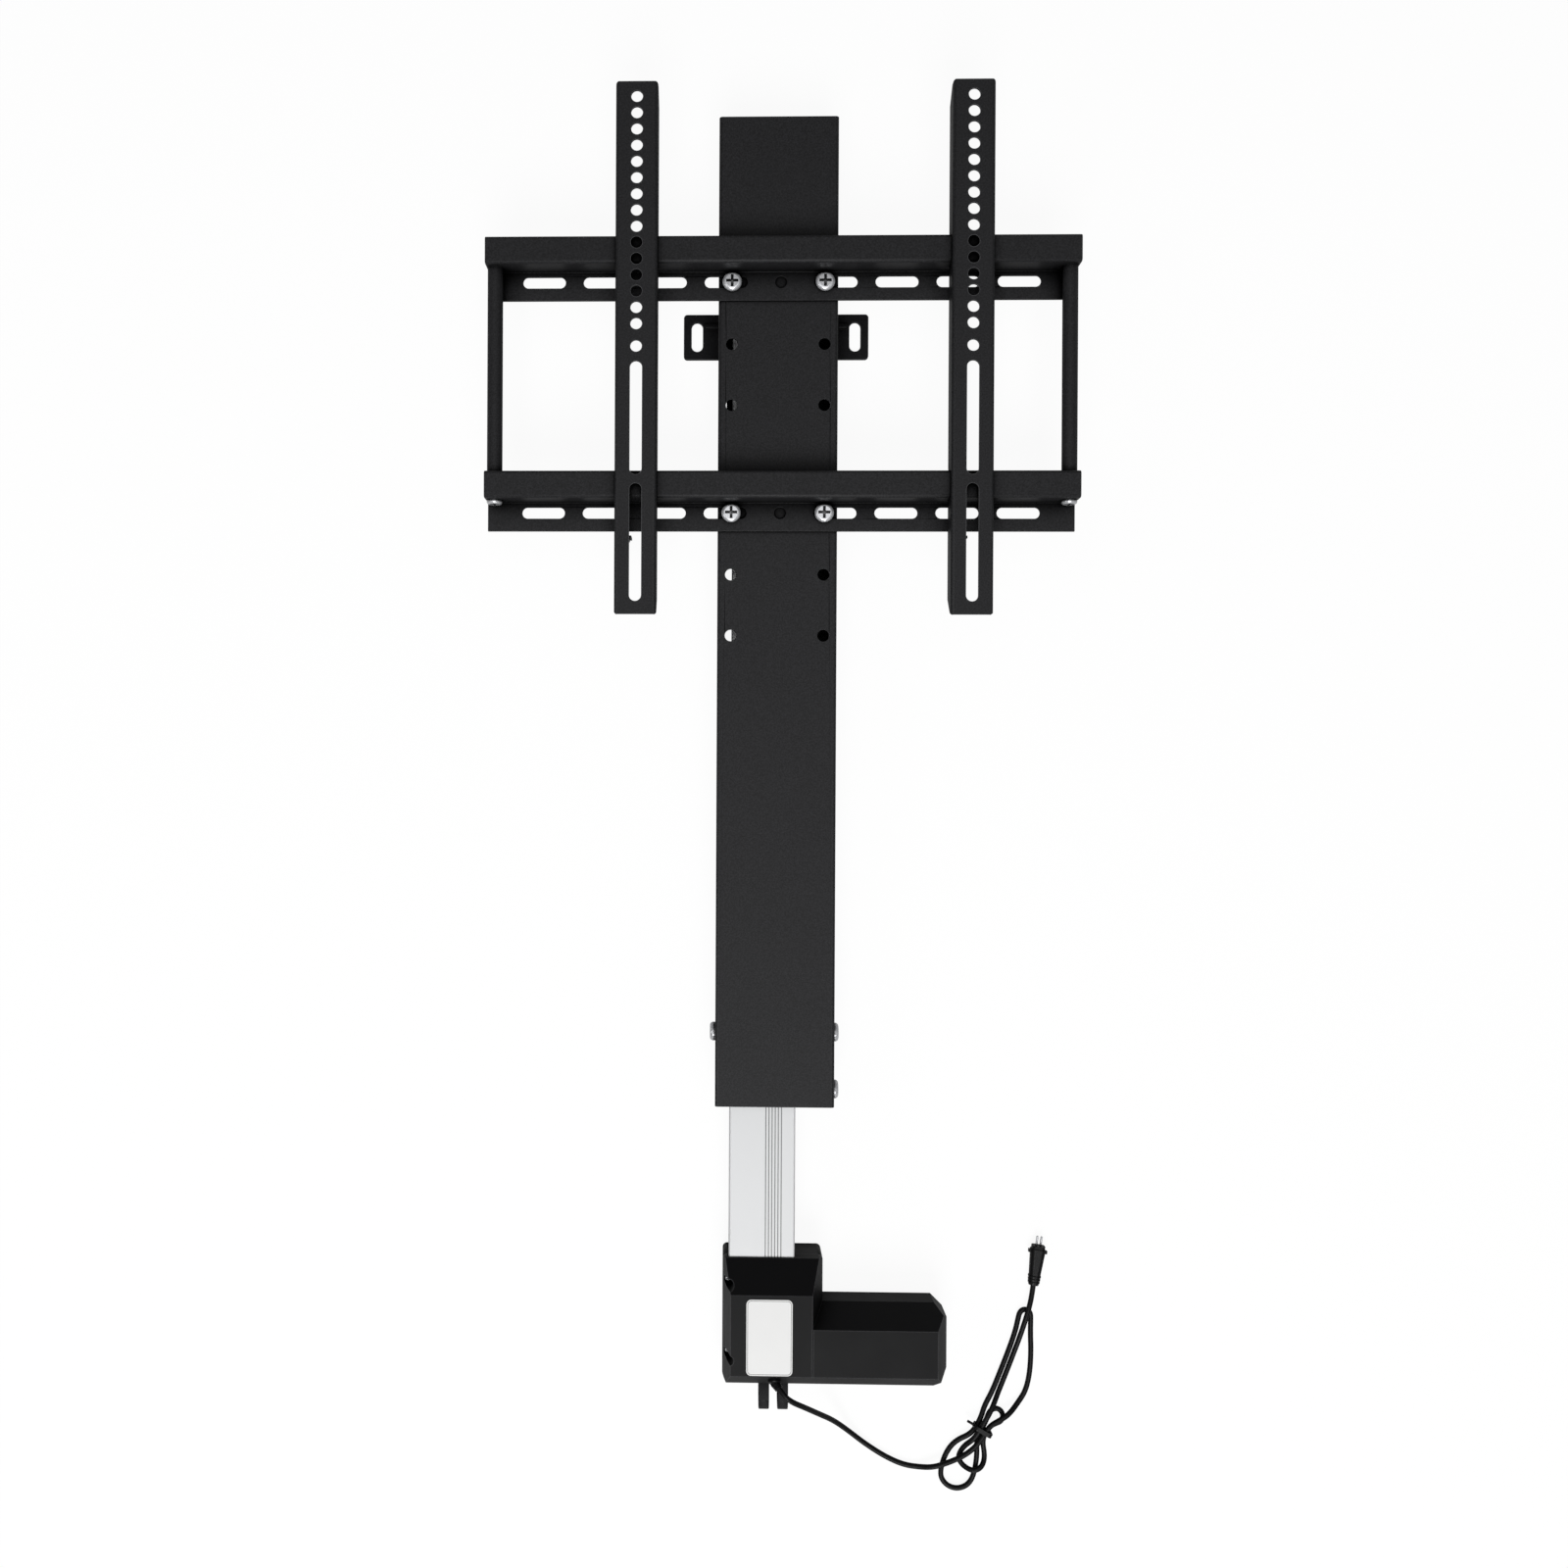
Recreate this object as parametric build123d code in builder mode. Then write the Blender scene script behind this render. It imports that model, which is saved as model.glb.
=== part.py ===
"""Television lift: a motor-driven column with two cross rails and two hook-on arms, lying on its back.

+X runs along the rails, +Y is the way the column lifts, +Z points out of the wall plate.
The origin is at the middle of the outline, on the plane of the wall plate. Sizes are in millimetres.
"""

from build123d import *
import math
import os

os.makedirs("parts", exist_ok=True)

# Sizes that the whole lift shares
overrun = 1.0
slip = 0.1
running_gap = 0.3
sheet = 2.0
bend_inner = 0.6
bend_outer = bend_inner + sheet

# Stations along the lift, from the clevis up
clevis_reach = 31.0
housing_length = 103.0
parked_gap = 9.0
lift_shown = 120.0
column_length = 813.0
stroke_reserve = 113.0
lift_stroke = column_length - stroke_reserve
upper_row_drop = 136.5
rail_spacing = 189.0
arm_rise = 152.0

overall_length = (
    clevis_reach + housing_length + parked_gap + lift_shown + column_length - upper_row_drop + arm_rise
)
clevis_tip_y = -overall_length / 2
housing_bottom_y = clevis_tip_y + clevis_reach
housing_top_y = housing_bottom_y + housing_length
column_bottom_y = housing_top_y + parked_gap + lift_shown
column_top_y = column_bottom_y + column_length
upper_row_y = column_top_y - upper_row_drop
lower_row_y = upper_row_y - rail_spacing
arm_top_y = upper_row_y + arm_rise

# The rails are slid this far to the right of the column on their slots
rail_shift = 2.0
lift_x = -rail_shift

# Column, whose width follows from the track inside it
track_left = 37.0
side_room = 12.0
column_width = 2 * (track_left + side_room)
column_front_z = 58.0
column_back_z = 13.0
column_lip = 16.0
column_hole_d = 9.5
column_hole_inset = 11.0
column_hole_spacing = column_width - 2 * column_hole_inset
column_row_pitch = 50.0
column_rows = 3
column_inner_half = column_width / 2 - sheet
column_inner_z = column_front_z - sheet

# Cross rails
rail_length = 480.0
rail_box_height = 22.0
rail_box_depth = 24.0
rail_flange_above_row = 8.5
rail_flange_below_row = 15.0
rail_lip = 8.0
rail_slot_length = 35.0
rail_slot_height = 9.0
rail_slot_first = 45.0
rail_slot_pitch = 49.7
rail_slots_per_side = 4
rail_hole_d = 9.4
rail_front_z = column_front_z + rail_box_depth
rail_box_below = rail_flange_above_row
rail_box_above = rail_flange_above_row + rail_box_height

# Tubes that brace the two rails at their ends
spacer_d = 12.5
spacer_bore_d = 6.2
spacer_inset = 7.0
spacer_z = column_front_z + rail_box_depth / 2
spacer_x = rail_length / 2 - spacer_inset

# Hook-on arms
arm_tail = 86.0
arm_length = arm_rise + rail_spacing + arm_tail
arm_width = 34.0
arm_depth = 18.0
arm_gap_to_rail = 3.0
arm_hole_d = 9.4
arm_first_hole = 12.0
arm_hole_pitch = 13.0
arm_pitch_holes = 15
arm_last_hole_step = 18.0
arm_slot_width = 9.8
arm_slot_one_from = 224.0
arm_slot_two_length = 94.5
arm_slot_two_end = 10.5
arm_slot_bridge = 7.0
arm_slot_two_to = arm_length - arm_slot_two_end
arm_slot_two_from = arm_slot_two_to - arm_slot_two_length
arm_slot_one_to = arm_slot_two_from - arm_slot_bridge
arm_end_cut = 14.0
arm_corner = 2.5
arm_front_z = rail_front_z + arm_gap_to_rail + sheet
left_arm_x = -117.0
right_arm_x = 152.5

# Lock screw and its tab in each arm
tab_length = 13.0
tab_height = 12.7
tab_drop = 32.0
lock_screw_d = 5.0
lock_head_d = 9.0
lock_head_height = 3.0
lock_inset = 9.0

# Aluminium track
track_right = 18.0
track_back_z = 8.0
track_front_z = 40.0
track_corner = 1.5
track_sunk = 14.0
track_reach = 86.0
track_top_y = housing_top_y + parked_gap + lift_stroke + track_reach
track_bottom_y = housing_top_y - track_sunk
screw_z = (track_back_z + track_front_z) / 2
chamber_d = 24.0
slot_height = 10.0
groove_depth = 5.0
rib_count = 6
rib_pitch = 2.6
rib_width = 0.8
rib_depth = 0.7
core_wall = 3.5
core_gap_to_chamber = 3.0

# Lead screw and nut
screw_d = 12.0
journal_d = 10.0
screw_tip_d = 8.0
nut_d = 22.0
nut_length = 40.0
nut_key_length = 20.0
nut_key_depth = 6.0

# Slide block that carries the column
block_length = 67.0
block_above_edge = 3.0
pad_thickness = 2.0
block_back_z = column_back_z + sheet
block_chamfer = 2.5
side_screw_rise = 11.5
side_screw_pitch = 47.5
side_screw_d = 6.0
side_head_d = 15.5
side_head_height = 4.5
side_screw_length = 7.0
side_screw_z = 37.0

# Worm drive
gear_teeth = 20
gear_module = 1.25
gear_width = 12.0
worm_pitch_d = 10.0
worm_core_d = 6.6
worm_shaft_d = 6.0
worm_length = 22.0
drive_rise = 32.75
gear_pitch_d = gear_teeth * gear_module
worm_z = screw_z + (gear_pitch_d + worm_pitch_d) / 2
drive_y = housing_bottom_y + drive_rise

# Gearbox block and bearings
core_left = 26.0
core_right = 24.0
core_top_z = 40.0
core_nose_z = 54.0
core_nose_from = 20.0
core_nose_to = 12.75
core_foot = 4.75
gear_chamber_d = 30.0
gear_chamber_half = 14.0
upper_bearing_d = 22.0
upper_bearing_width = 8.0
lower_bearing_d = 19.0
lower_bearing_width = 7.0
worm_bearing_d = 16.0
worm_bearing_width = 6.0
collar_depth = 14.0

# Motor
motor_d = 33.0
motor_length = 92.0
motor_corner = 2.0
shaft_in_motor = 60.0

# Moulded housing, as half widths and stations from its bottom edge
housing_half = 42.0
housing_split_z = 30.0
housing_front_z = 62.0
housing_shoulder_z = 41.3
housing_belly_z = 45.0
housing_face_top = 78.5
housing_face_bottom = 12.0
housing_face_left = 35.4
housing_face_right = 32.0
housing_corner = 4.0
motor_end_x = 145.0
motor_face_end = 134.5
motor_top_rise = 64.3
motor_face_rise = 50.7
motor_back_z = 8.0
motor_end_taper_z = 36.0
motor_cut_top = 10.0
motor_cut_bottom = 12.0
wall = 2.5
boss_d = 8.0
boss_inset = 5.2
case_screw_d = 3.0
case_head_d = 5.6
case_head_height = 2.4
pocket_d = 8.6
pocket_floor_z = 36.0
pocket_rise = 24.5
pocket_drop = 18.5
seam_depth = 0.7
seam_width = 1.0

# Clevis
clevis_width = 24.6
clevis_gap = 7.2
clevis_offset = 1.2
clevis_low_z = 8.0
clevis_high_z = 32.0
clevis_root = 4.0
clevis_pin_d = 8.0
clevis_tip_round = (clevis_high_z - clevis_low_z) / 2

# Wall plate
plate_thickness = 3.0
plate_ear_half = 79.0
plate_ear_height = 38.4
plate_ear_rise = 2.4
plate_stem_half = 42.0
plate_stem_length = 62.0
plate_corner = 3.0
ear_slot_length = 25.0
ear_slot_width = 9.6
ear_slot_inset = 11.5
bead_height = 2.5
bead_width = 5.0
bead_drop = 10.4
plate_screw_d = 5.0
plate_head_d = 9.6
plate_screw_pitch = 60.0

# Fixings of the rails
m8_d = 7.8
m8_head_d = 15.7
m8_head_height = 4.6
m8_recess = 10.0
m8_nut_across = 13.0
m8_nut_height = 6.5
tube_screw_d = 5.8
tube_head_d = 12.6
tube_head_height = 3.5
tube_thread = 14.0

# Cord, its tie and its connector, which lie on the plane that the lift lies on
cord_d = 4.5
cord_gap = 0.5
cord_hump = 0.2
cord_arc_share = 0.45
cord_samples = 600
tie_thickness = 1.2
tie_width = 3.5
tie_corner = 3.4
tie_clear = 0.2
tie_heading = 60.0
tie_tail_d = 2.2
tie_tail_length = 6.5
connector_length = 33.6
connector_base_width = 8.5
connector_base_height = 8.2
connector_front_width = 12.7
connector_front_height = 10.6
connector_corner = 3.6
connector_rib_count = 3
connector_rib_first = 1.8
connector_rib_pitch = 2.5
connector_rib_length = 1.2
connector_rib_out = 0.6
connector_nose_length = 3.0
connector_nose_step = 0.8
lug_length = 2.6
lug_height = 3.6
lug_out = 1.5
lug_from_front = 3.6
pin_d = 1.8
pin_shown = 8.0
pin_sunk = 6.0
pin_spacing = 3.6

# Small sizes of the pieces above
head_dome_share = 0.6
recess_width_share = 0.23
recess_depth_share = 0.6
ring_edge = 0.6
cap_thickness = 3.0
cap_step = 1.0
cap_skirt_wall = 2.0
cap_skirt = 9.0
tube_recess = 7.0
side_recess = 8.0
lock_recess = 5.0
case_recess = 3.4
notch_lead = 3.0
tab_clear = 1.3
lock_z = 77.0
switch_length = 10.0
switch_from_top = 4.0
switch_button_d = 3.0
switch_button_out = 1.0
end_cap_thickness = 3.0
bead_length = 18.0
bead_slot_gap = 0.7
bead_outer = plate_ear_half - ear_slot_inset - ear_slot_width / 2 - bead_slot_gap
bead_inner = bead_outer - bead_length
bead_round_share = 0.8
plate_head_height = 2.0
plate_screw_bite = 3.0
plate_screw_left = 22.0
plate_screw_right = 8.0
plate_screw_top = 14.0
pad_inset = 2.0
pad_length = 94.0
block_pocket_wall = 8.0
block_pocket_width = 11.0
block_pocket_to = column_inner_half - block_pocket_wall
block_pocket_from = block_pocket_to - block_pocket_width
block_pocket_height = 11.0
pad_end_gap = 1.0
tongue_gap = 1.5
screw_running = 0.05
bush_length = 10.0
lower_bearing_rise = 4.0
collar_gap = 1.0
tooth_foot_share = 0.3
tooth_tip_share = 0.14
post_wall = 1.6
case_screw_bite = 12.0
back_screw_from_top = 12.0
motor_post_inset = 14.0
motor_post_low = 14.0
motor_post_high = 50.0
gland_offset = 1.0
gland_neck_d = 8.0
gland_flange_d = 10.6
gland_flange_height = 2.5
gland_body_d = 8.6
gland_body_length = 7.2
gland_taper = 8.0
gland_lean = 35.0

# Places that several pieces share
side_screws = (
    (-1, column_bottom_y + side_screw_rise + side_screw_pitch),
    (1, column_bottom_y + side_screw_rise + side_screw_pitch),
    (1, column_bottom_y + side_screw_rise),
)
nut_y = column_bottom_y + block_above_edge + block_length / 2
nut_key_height = slot_height - 2 * running_gap
ear_slot_spacing = 2 * (plate_ear_half - ear_slot_inset)
plate_screw_places = [
    (lift_x + x, track_top_y - plate_screw_top - i * plate_screw_pitch)
    for x in (-plate_screw_left, plate_screw_right)
    for i in range(2)
]
core_bottom_y = housing_bottom_y + core_foot
pocket_x = lift_x - housing_half + boss_inset
pocket_places = [(pocket_x, housing_bottom_y + pocket_rise), (pocket_x, housing_top_y - pocket_drop)]
back_screw_places = [
    (lift_x + housing_half - boss_inset, housing_top_y - back_screw_from_top),
    (lift_x + motor_end_x - motor_post_inset, housing_bottom_y + motor_post_low),
    (lift_x + motor_end_x - motor_post_inset, housing_bottom_y + motor_post_high),
]


def level(y):
    """A plane across the lift at y: its normal runs down the lift and its own +Y is +Z."""
    return Plane.XZ.offset(-y)


def save(piece, name):
    piece.part.label = name
    export_step(piece.part, f"parts/{name}.step")


def dome_screw(plane, head_d, head_height, shank_d, shank_length, recess):
    """A screw whose domed head stands on the plane, with a cross recess and a shank running back."""
    with BuildPart() as screw:
        with BuildSketch(plane):
            Circle(head_d / 2)
        extrude(amount=head_height)
        rim = screw.edges().sort_by(Axis(plane.origin, plane.z_dir))[-1]
        fillet(rim, head_height * head_dome_share)
        with BuildSketch(plane.offset(head_height)):
            Rectangle(recess, recess * recess_width_share)
            Rectangle(recess * recess_width_share, recess)
        extrude(amount=-head_height * recess_depth_share, mode=Mode.SUBTRACT)
        with BuildSketch(plane):
            Circle(shank_d / 2)
        extrude(amount=-shank_length)
    return screw.part


def ring(plane, outer_d, inner_d, width):
    """A bearing or bush: a ring running along the plane's normal, with its edges eased."""
    with BuildPart() as race:
        with BuildSketch(plane):
            Circle(outer_d / 2)
            Circle(inner_d / 2, mode=Mode.SUBTRACT)
        extrude(amount=width)
        chamfer(race.edges().filter_by(GeomType.CIRCLE), ring_edge)
    return race.part


# Column: a steel channel that is open towards the wall, with a lip that closes it beside the track

cap_back_z = column_back_z + sheet + slip

with BuildPart() as column_channel:
    with BuildSketch(level(column_top_y)):
        with BuildLine():
            FilletPolyline(
                (lift_x - column_width / 2, column_back_z),
                (lift_x - column_width / 2, column_front_z),
                (lift_x + column_width / 2, column_front_z),
                (lift_x + column_width / 2, column_back_z),
                (lift_x + column_width / 2 - column_lip, column_back_z),
                radius=bend_outer,
            )
            offset(amount=sheet, side=Side.RIGHT)
        make_face()
    extrude(amount=column_length)
    with BuildSketch(Plane.XY.offset(column_front_z + overrun)):
        for row_y in (upper_row_y, lower_row_y):
            with Locations((lift_x, row_y - column_row_pitch * (column_rows - 1) / 2)):
                with GridLocations(column_hole_spacing, column_row_pitch, 2, column_rows):
                    Circle(column_hole_d / 2)
    extrude(amount=-sheet - 2 * overrun, mode=Mode.SUBTRACT)
    for side, station in side_screws:
        with BuildSketch(Plane.YZ.offset(lift_x + side * (column_width / 2 - sheet / 2))):
            with Locations((station, side_screw_z)):
                Circle(side_screw_d / 2 + slip)
        extrude(amount=sheet, both=True, mode=Mode.SUBTRACT)
save(column_channel, "column_channel")

with BuildPart() as column_cap:
    with BuildSketch(level(column_top_y)):
        with Locations((lift_x, (cap_back_z + column_inner_z - slip) / 2)):
            RectangleRounded(
                2 * (column_inner_half - slip), column_inner_z - slip - cap_back_z, bend_inner
            )
    extrude(amount=cap_thickness)
    with BuildSketch(level(column_top_y - cap_thickness)):
        with Locations((lift_x, (cap_back_z + column_inner_z - slip) / 2)):
            RectangleRounded(
                2 * (column_inner_half - cap_step), column_inner_z - cap_back_z - 2 * cap_step, bend_inner
            )
            RectangleRounded(
                2 * (column_inner_half - cap_step - cap_skirt_wall),
                column_inner_z - cap_back_z - 2 * (cap_step + cap_skirt_wall),
                bend_inner,
                mode=Mode.SUBTRACT,
            )
    extrude(amount=cap_skirt)
save(column_cap, "column_cap")


# Cross rails: sheet steel bent to a flange with a box above it

def cross_rail(row_y):
    """One rail, whose flange slots lie on the row at row_y."""
    with BuildPart() as rail:
        with BuildSketch(Plane.YZ.offset(-rail_length / 2)):
            with BuildLine():
                FilletPolyline(
                    (row_y - rail_flange_below_row, column_front_z + sheet),
                    (row_y + rail_box_below, column_front_z + sheet),
                    (row_y + rail_box_below, rail_front_z),
                    (row_y + rail_box_above, rail_front_z),
                    (row_y + rail_box_above, column_front_z),
                    (row_y + rail_box_above - rail_lip, column_front_z),
                    radius=[bend_inner, bend_outer, bend_outer, bend_outer],
                )
                offset(amount=sheet, side=Side.RIGHT)
            make_face()
        extrude(amount=rail_length)
        with BuildSketch(Plane.XY.offset(column_front_z + sheet + overrun)):
            with Locations((0, row_y)):
                Circle(rail_hole_d / 2)
                for side in (-1, 1):
                    for i in range(rail_slots_per_side):
                        with Locations((side * (rail_slot_first + i * rail_slot_pitch), 0)):
                            SlotOverall(rail_slot_length, rail_slot_height)
        extrude(amount=-sheet - 2 * overrun, mode=Mode.SUBTRACT)
        with BuildSketch(level(row_y + rail_box_above - sheet - overrun)):
            with Locations((-spacer_x, spacer_z), (spacer_x, spacer_z)):
                Circle(tube_screw_d / 2 + slip)
        extrude(amount=rail_box_height, mode=Mode.SUBTRACT)
        if row_y == lower_row_y:
            with BuildSketch(level(row_y + rail_box_above + overrun)):
                with Locations((-spacer_x, spacer_z), (spacer_x, spacer_z)):
                    Circle(tube_screw_d / 2 + slip)
            extrude(amount=sheet + 2 * overrun, mode=Mode.SUBTRACT)
    return rail


upper_rail = cross_rail(upper_row_y)
save(upper_rail, "upper_rail")
lower_rail = cross_rail(lower_row_y)
save(lower_rail, "lower_rail")

# Tubes between the rails, with a screw at each end

tube_top_y = upper_row_y + rail_box_below
tube_bottom_y = lower_row_y + rail_box_above
lower_head_y = lower_row_y + rail_box_below

for side, name in ((-1, "left_spacer_tube"), (1, "right_spacer_tube")):
    with BuildPart() as spacer_tube:
        with BuildSketch(level(tube_top_y)):
            with Locations((side * spacer_x, spacer_z)):
                Circle(spacer_d / 2)
                Circle(spacer_bore_d / 2, mode=Mode.SUBTRACT)
        extrude(amount=tube_top_y - tube_bottom_y)
    save(spacer_tube, name)

with BuildPart() as spacer_screws:
    for side in (-1, 1):
        below = Plane((side * spacer_x, lower_head_y, spacer_z), (1, 0, 0), (0, -1, 0))
        through = rail_box_height + tube_thread
        add(dome_screw(below, tube_head_d, tube_head_height, tube_screw_d, through, tube_recess))
        inside = Plane((side * spacer_x, tube_top_y + sheet, spacer_z), (1, 0, 0), (0, 1, 0))
        short = sheet + tube_thread
        add(dome_screw(inside, tube_head_d, tube_head_height, tube_screw_d, short, tube_recess))
save(spacer_screws, "spacer_screws")

# Screws and nuts that hold the rails to the column

with BuildPart() as rail_screws:
    for row_y in (upper_row_y, lower_row_y):
        for side in (-1, 1):
            seat = Plane((lift_x + side * column_hole_spacing / 2, row_y, column_front_z + sheet))
            grip = 2 * sheet + m8_nut_height
            add(dome_screw(seat, m8_head_d, m8_head_height, m8_d, grip, m8_recess))
save(rail_screws, "rail_screws")

with BuildPart() as rail_nuts:
    with BuildSketch(Plane.XY.offset(column_inner_z)):
        for row_y in (upper_row_y, lower_row_y):
            with Locations((lift_x, row_y)):
                with GridLocations(column_hole_spacing, column_hole_spacing, 2, 1):
                    RegularPolygon(m8_nut_across / 2, 6, major_radius=False)
                    Circle(m8_d / 2 + slip, mode=Mode.SUBTRACT)
    extrude(amount=-m8_nut_height)
save(rail_nuts, "rail_nuts")


# Hook-on arms: channels with a row of holes, two slots, and notches that hook over both rails

arm_bottom_y = arm_top_y - arm_length
arm_back_z = arm_front_z - arm_depth
tab_y = lower_row_y + rail_box_below - tab_drop


def hook_arm(x):
    """One arm, centred on x."""
    with BuildPart() as arm:
        with BuildSketch(level(arm_top_y)):
            with BuildLine():
                FilletPolyline(
                    (x - arm_width / 2, arm_back_z),
                    (x - arm_width / 2, arm_front_z),
                    (x + arm_width / 2, arm_front_z),
                    (x + arm_width / 2, arm_back_z),
                    radius=bend_outer,
                )
                offset(amount=sheet, side=Side.RIGHT)
            make_face()
        extrude(amount=arm_length)
        # corners of the web and of the side flanges
        with BuildSketch(Plane.XY.offset(arm_front_z + overrun)):
            with Locations((x, arm_top_y - arm_length / 2)):
                Rectangle(arm_width + 2 * overrun, arm_length + 2 * overrun)
                RectangleRounded(arm_width, arm_length, arm_corner, mode=Mode.SUBTRACT)
        extrude(amount=-arm_depth - 2 * overrun, mode=Mode.SUBTRACT)
        # the flanges' back corners, cut at a slant
        with BuildSketch(Plane.YZ.offset(x)):
            for end, inward in ((arm_top_y, -arm_end_cut), (arm_bottom_y, arm_end_cut)):
                with BuildLine():
                    Polyline(
                        (end, arm_back_z),
                        (end + inward, arm_back_z),
                        (end, arm_back_z + arm_end_cut),
                        close=True,
                    )
                make_face()
        extrude(amount=arm_width, both=True, mode=Mode.SUBTRACT)
        # holes and slots in the web
        with BuildSketch(Plane.XY.offset(arm_front_z + overrun)):
            for i in range(arm_pitch_holes):
                with Locations((x, arm_top_y - arm_first_hole - i * arm_hole_pitch)):
                    Circle(arm_hole_d / 2)
            last = arm_first_hole + (arm_pitch_holes - 1) * arm_hole_pitch + arm_last_hole_step
            with Locations((x, arm_top_y - last)):
                Circle(arm_hole_d / 2)
            for start, end in (
                (arm_slot_one_from, arm_slot_one_to),
                (arm_slot_two_from, arm_slot_two_to),
            ):
                with Locations((x, arm_top_y - (start + end) / 2)):
                    SlotOverall(end - start, arm_slot_width, rotation=90)
        extrude(amount=-sheet - 2 * overrun, mode=Mode.SUBTRACT)
        # notches for the boxes of the two rails
        with BuildSketch(Plane.YZ.offset(x)):
            for row_y in (upper_row_y, lower_row_y):
                low = row_y + rail_box_below - running_gap
                high = row_y + rail_box_above + running_gap
                deep = rail_front_z + running_gap
                with BuildLine():
                    Polyline(
                        (low, arm_back_z - overrun),
                        (low, deep),
                        (high, deep),
                        (high, arm_back_z + notch_lead),
                        (high + notch_lead, arm_back_z),
                        (high + notch_lead, arm_back_z - overrun),
                        close=True,
                    )
                make_face()
        extrude(amount=arm_width, both=True, mode=Mode.SUBTRACT)
        # tab for the lock screw, bent in from the left flange
        with BuildSketch(level(tab_y + sheet / 2)):
            with Locations((x - arm_width / 2 + bend_inner, arm_front_z - sheet - tab_clear)):
                Rectangle(tab_length, tab_height, align=(Align.MIN, Align.MAX))
            with Locations((x - lock_inset, lock_z)):
                Circle(lock_screw_d / 2 + slip, mode=Mode.SUBTRACT)
        extrude(amount=sheet)
    return arm


def lock_screw(x):
    """The screw in an arm's tab that is driven up against the lower rail."""
    with BuildPart() as screw:
        seat = Plane((x - lock_inset, tab_y - sheet / 2, lock_z), (1, 0, 0), (0, -1, 0))
        reach = tab_drop + sheet / 2 - running_gap
        add(dome_screw(seat, lock_head_d, lock_head_height, lock_screw_d, reach, lock_recess))
    return screw


for x, side in ((left_arm_x, "left"), (right_arm_x, "right")):
    save(hook_arm(x), f"{side}_arm")
    save(lock_screw(x), f"{side}_lock_screw")


# Track: an aluminium extrusion with the screw's chamber, a guide groove and a ribbed face

def track_outline():
    """The outer rectangle of the extrusion, for a sketch across the lift."""
    with Locations((lift_x + (track_right - track_left) / 2, screw_z)):
        RectangleRounded(track_left + track_right, track_front_z - track_back_z, track_corner)


with BuildPart() as track_rail:
    with BuildSketch(level(track_top_y)):
        track_outline()
        with Locations((lift_x, screw_z)):
            Circle(chamber_d / 2, mode=Mode.SUBTRACT)
            Rectangle(
                track_right + overrun, slot_height, align=(Align.MIN, Align.CENTER), mode=Mode.SUBTRACT
            )
        with Locations((lift_x - track_left - overrun, screw_z)):
            Rectangle(
                groove_depth + overrun, slot_height, align=(Align.MIN, Align.CENTER), mode=Mode.SUBTRACT
            )
        hollow_left = -track_left + groove_depth + core_wall
        hollow_right = -chamber_d / 2 - core_gap_to_chamber
        with Locations((lift_x + (hollow_left + hollow_right) / 2, screw_z)):
            RectangleRounded(
                hollow_right - hollow_left,
                track_front_z - track_back_z - 2 * core_wall,
                track_corner,
                mode=Mode.SUBTRACT,
            )
        with Locations((lift_x, track_front_z)):
            with GridLocations(rib_pitch, rib_pitch, rib_count, 1):
                Rectangle(rib_width, 2 * rib_depth, mode=Mode.SUBTRACT)
    extrude(amount=track_top_y - track_bottom_y)
    with BuildSketch(Plane.XY.offset(track_back_z - overrun)):
        with Locations(*plate_screw_places):
            Circle(plate_screw_d / 2)
    extrude(amount=plate_screw_bite + overrun, mode=Mode.SUBTRACT)
save(track_rail, "track_rail")

with BuildPart() as track_end_cap:
    with BuildSketch(level(track_top_y + end_cap_thickness)):
        track_outline()
    extrude(amount=end_cap_thickness)
    chamfer(track_end_cap.faces().sort_by(Axis.Y)[-1].edges(), ring_edge)
save(track_end_cap, "track_end_cap")

# Limit switches, one at each end of the guide groove

with BuildPart() as limit_switches:
    for low in (housing_top_y + running_gap, track_top_y - switch_from_top - switch_length):
        with BuildSketch(level(low + switch_length)):
            with Locations((lift_x - track_left + groove_depth, screw_z)):
                Rectangle(
                    groove_depth - slip, slot_height - 2 * slip, align=(Align.MAX, Align.CENTER)
                )
        extrude(amount=switch_length)
        with BuildSketch(Plane.YZ.offset(lift_x - track_left + slip)):
            with Locations((low + switch_length / 2, screw_z)):
                Circle(switch_button_d / 2)
        extrude(amount=-switch_button_out)
save(limit_switches, "limit_switches")

# Wall plate with its two slotted ears, and the pad that lifts the track off it

ear_top_y = track_top_y + plate_ear_rise
ear_bottom_y = ear_top_y - plate_ear_height
stem_bottom_y = ear_bottom_y - plate_stem_length
ear_middle_y = (ear_top_y + ear_bottom_y) / 2

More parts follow.
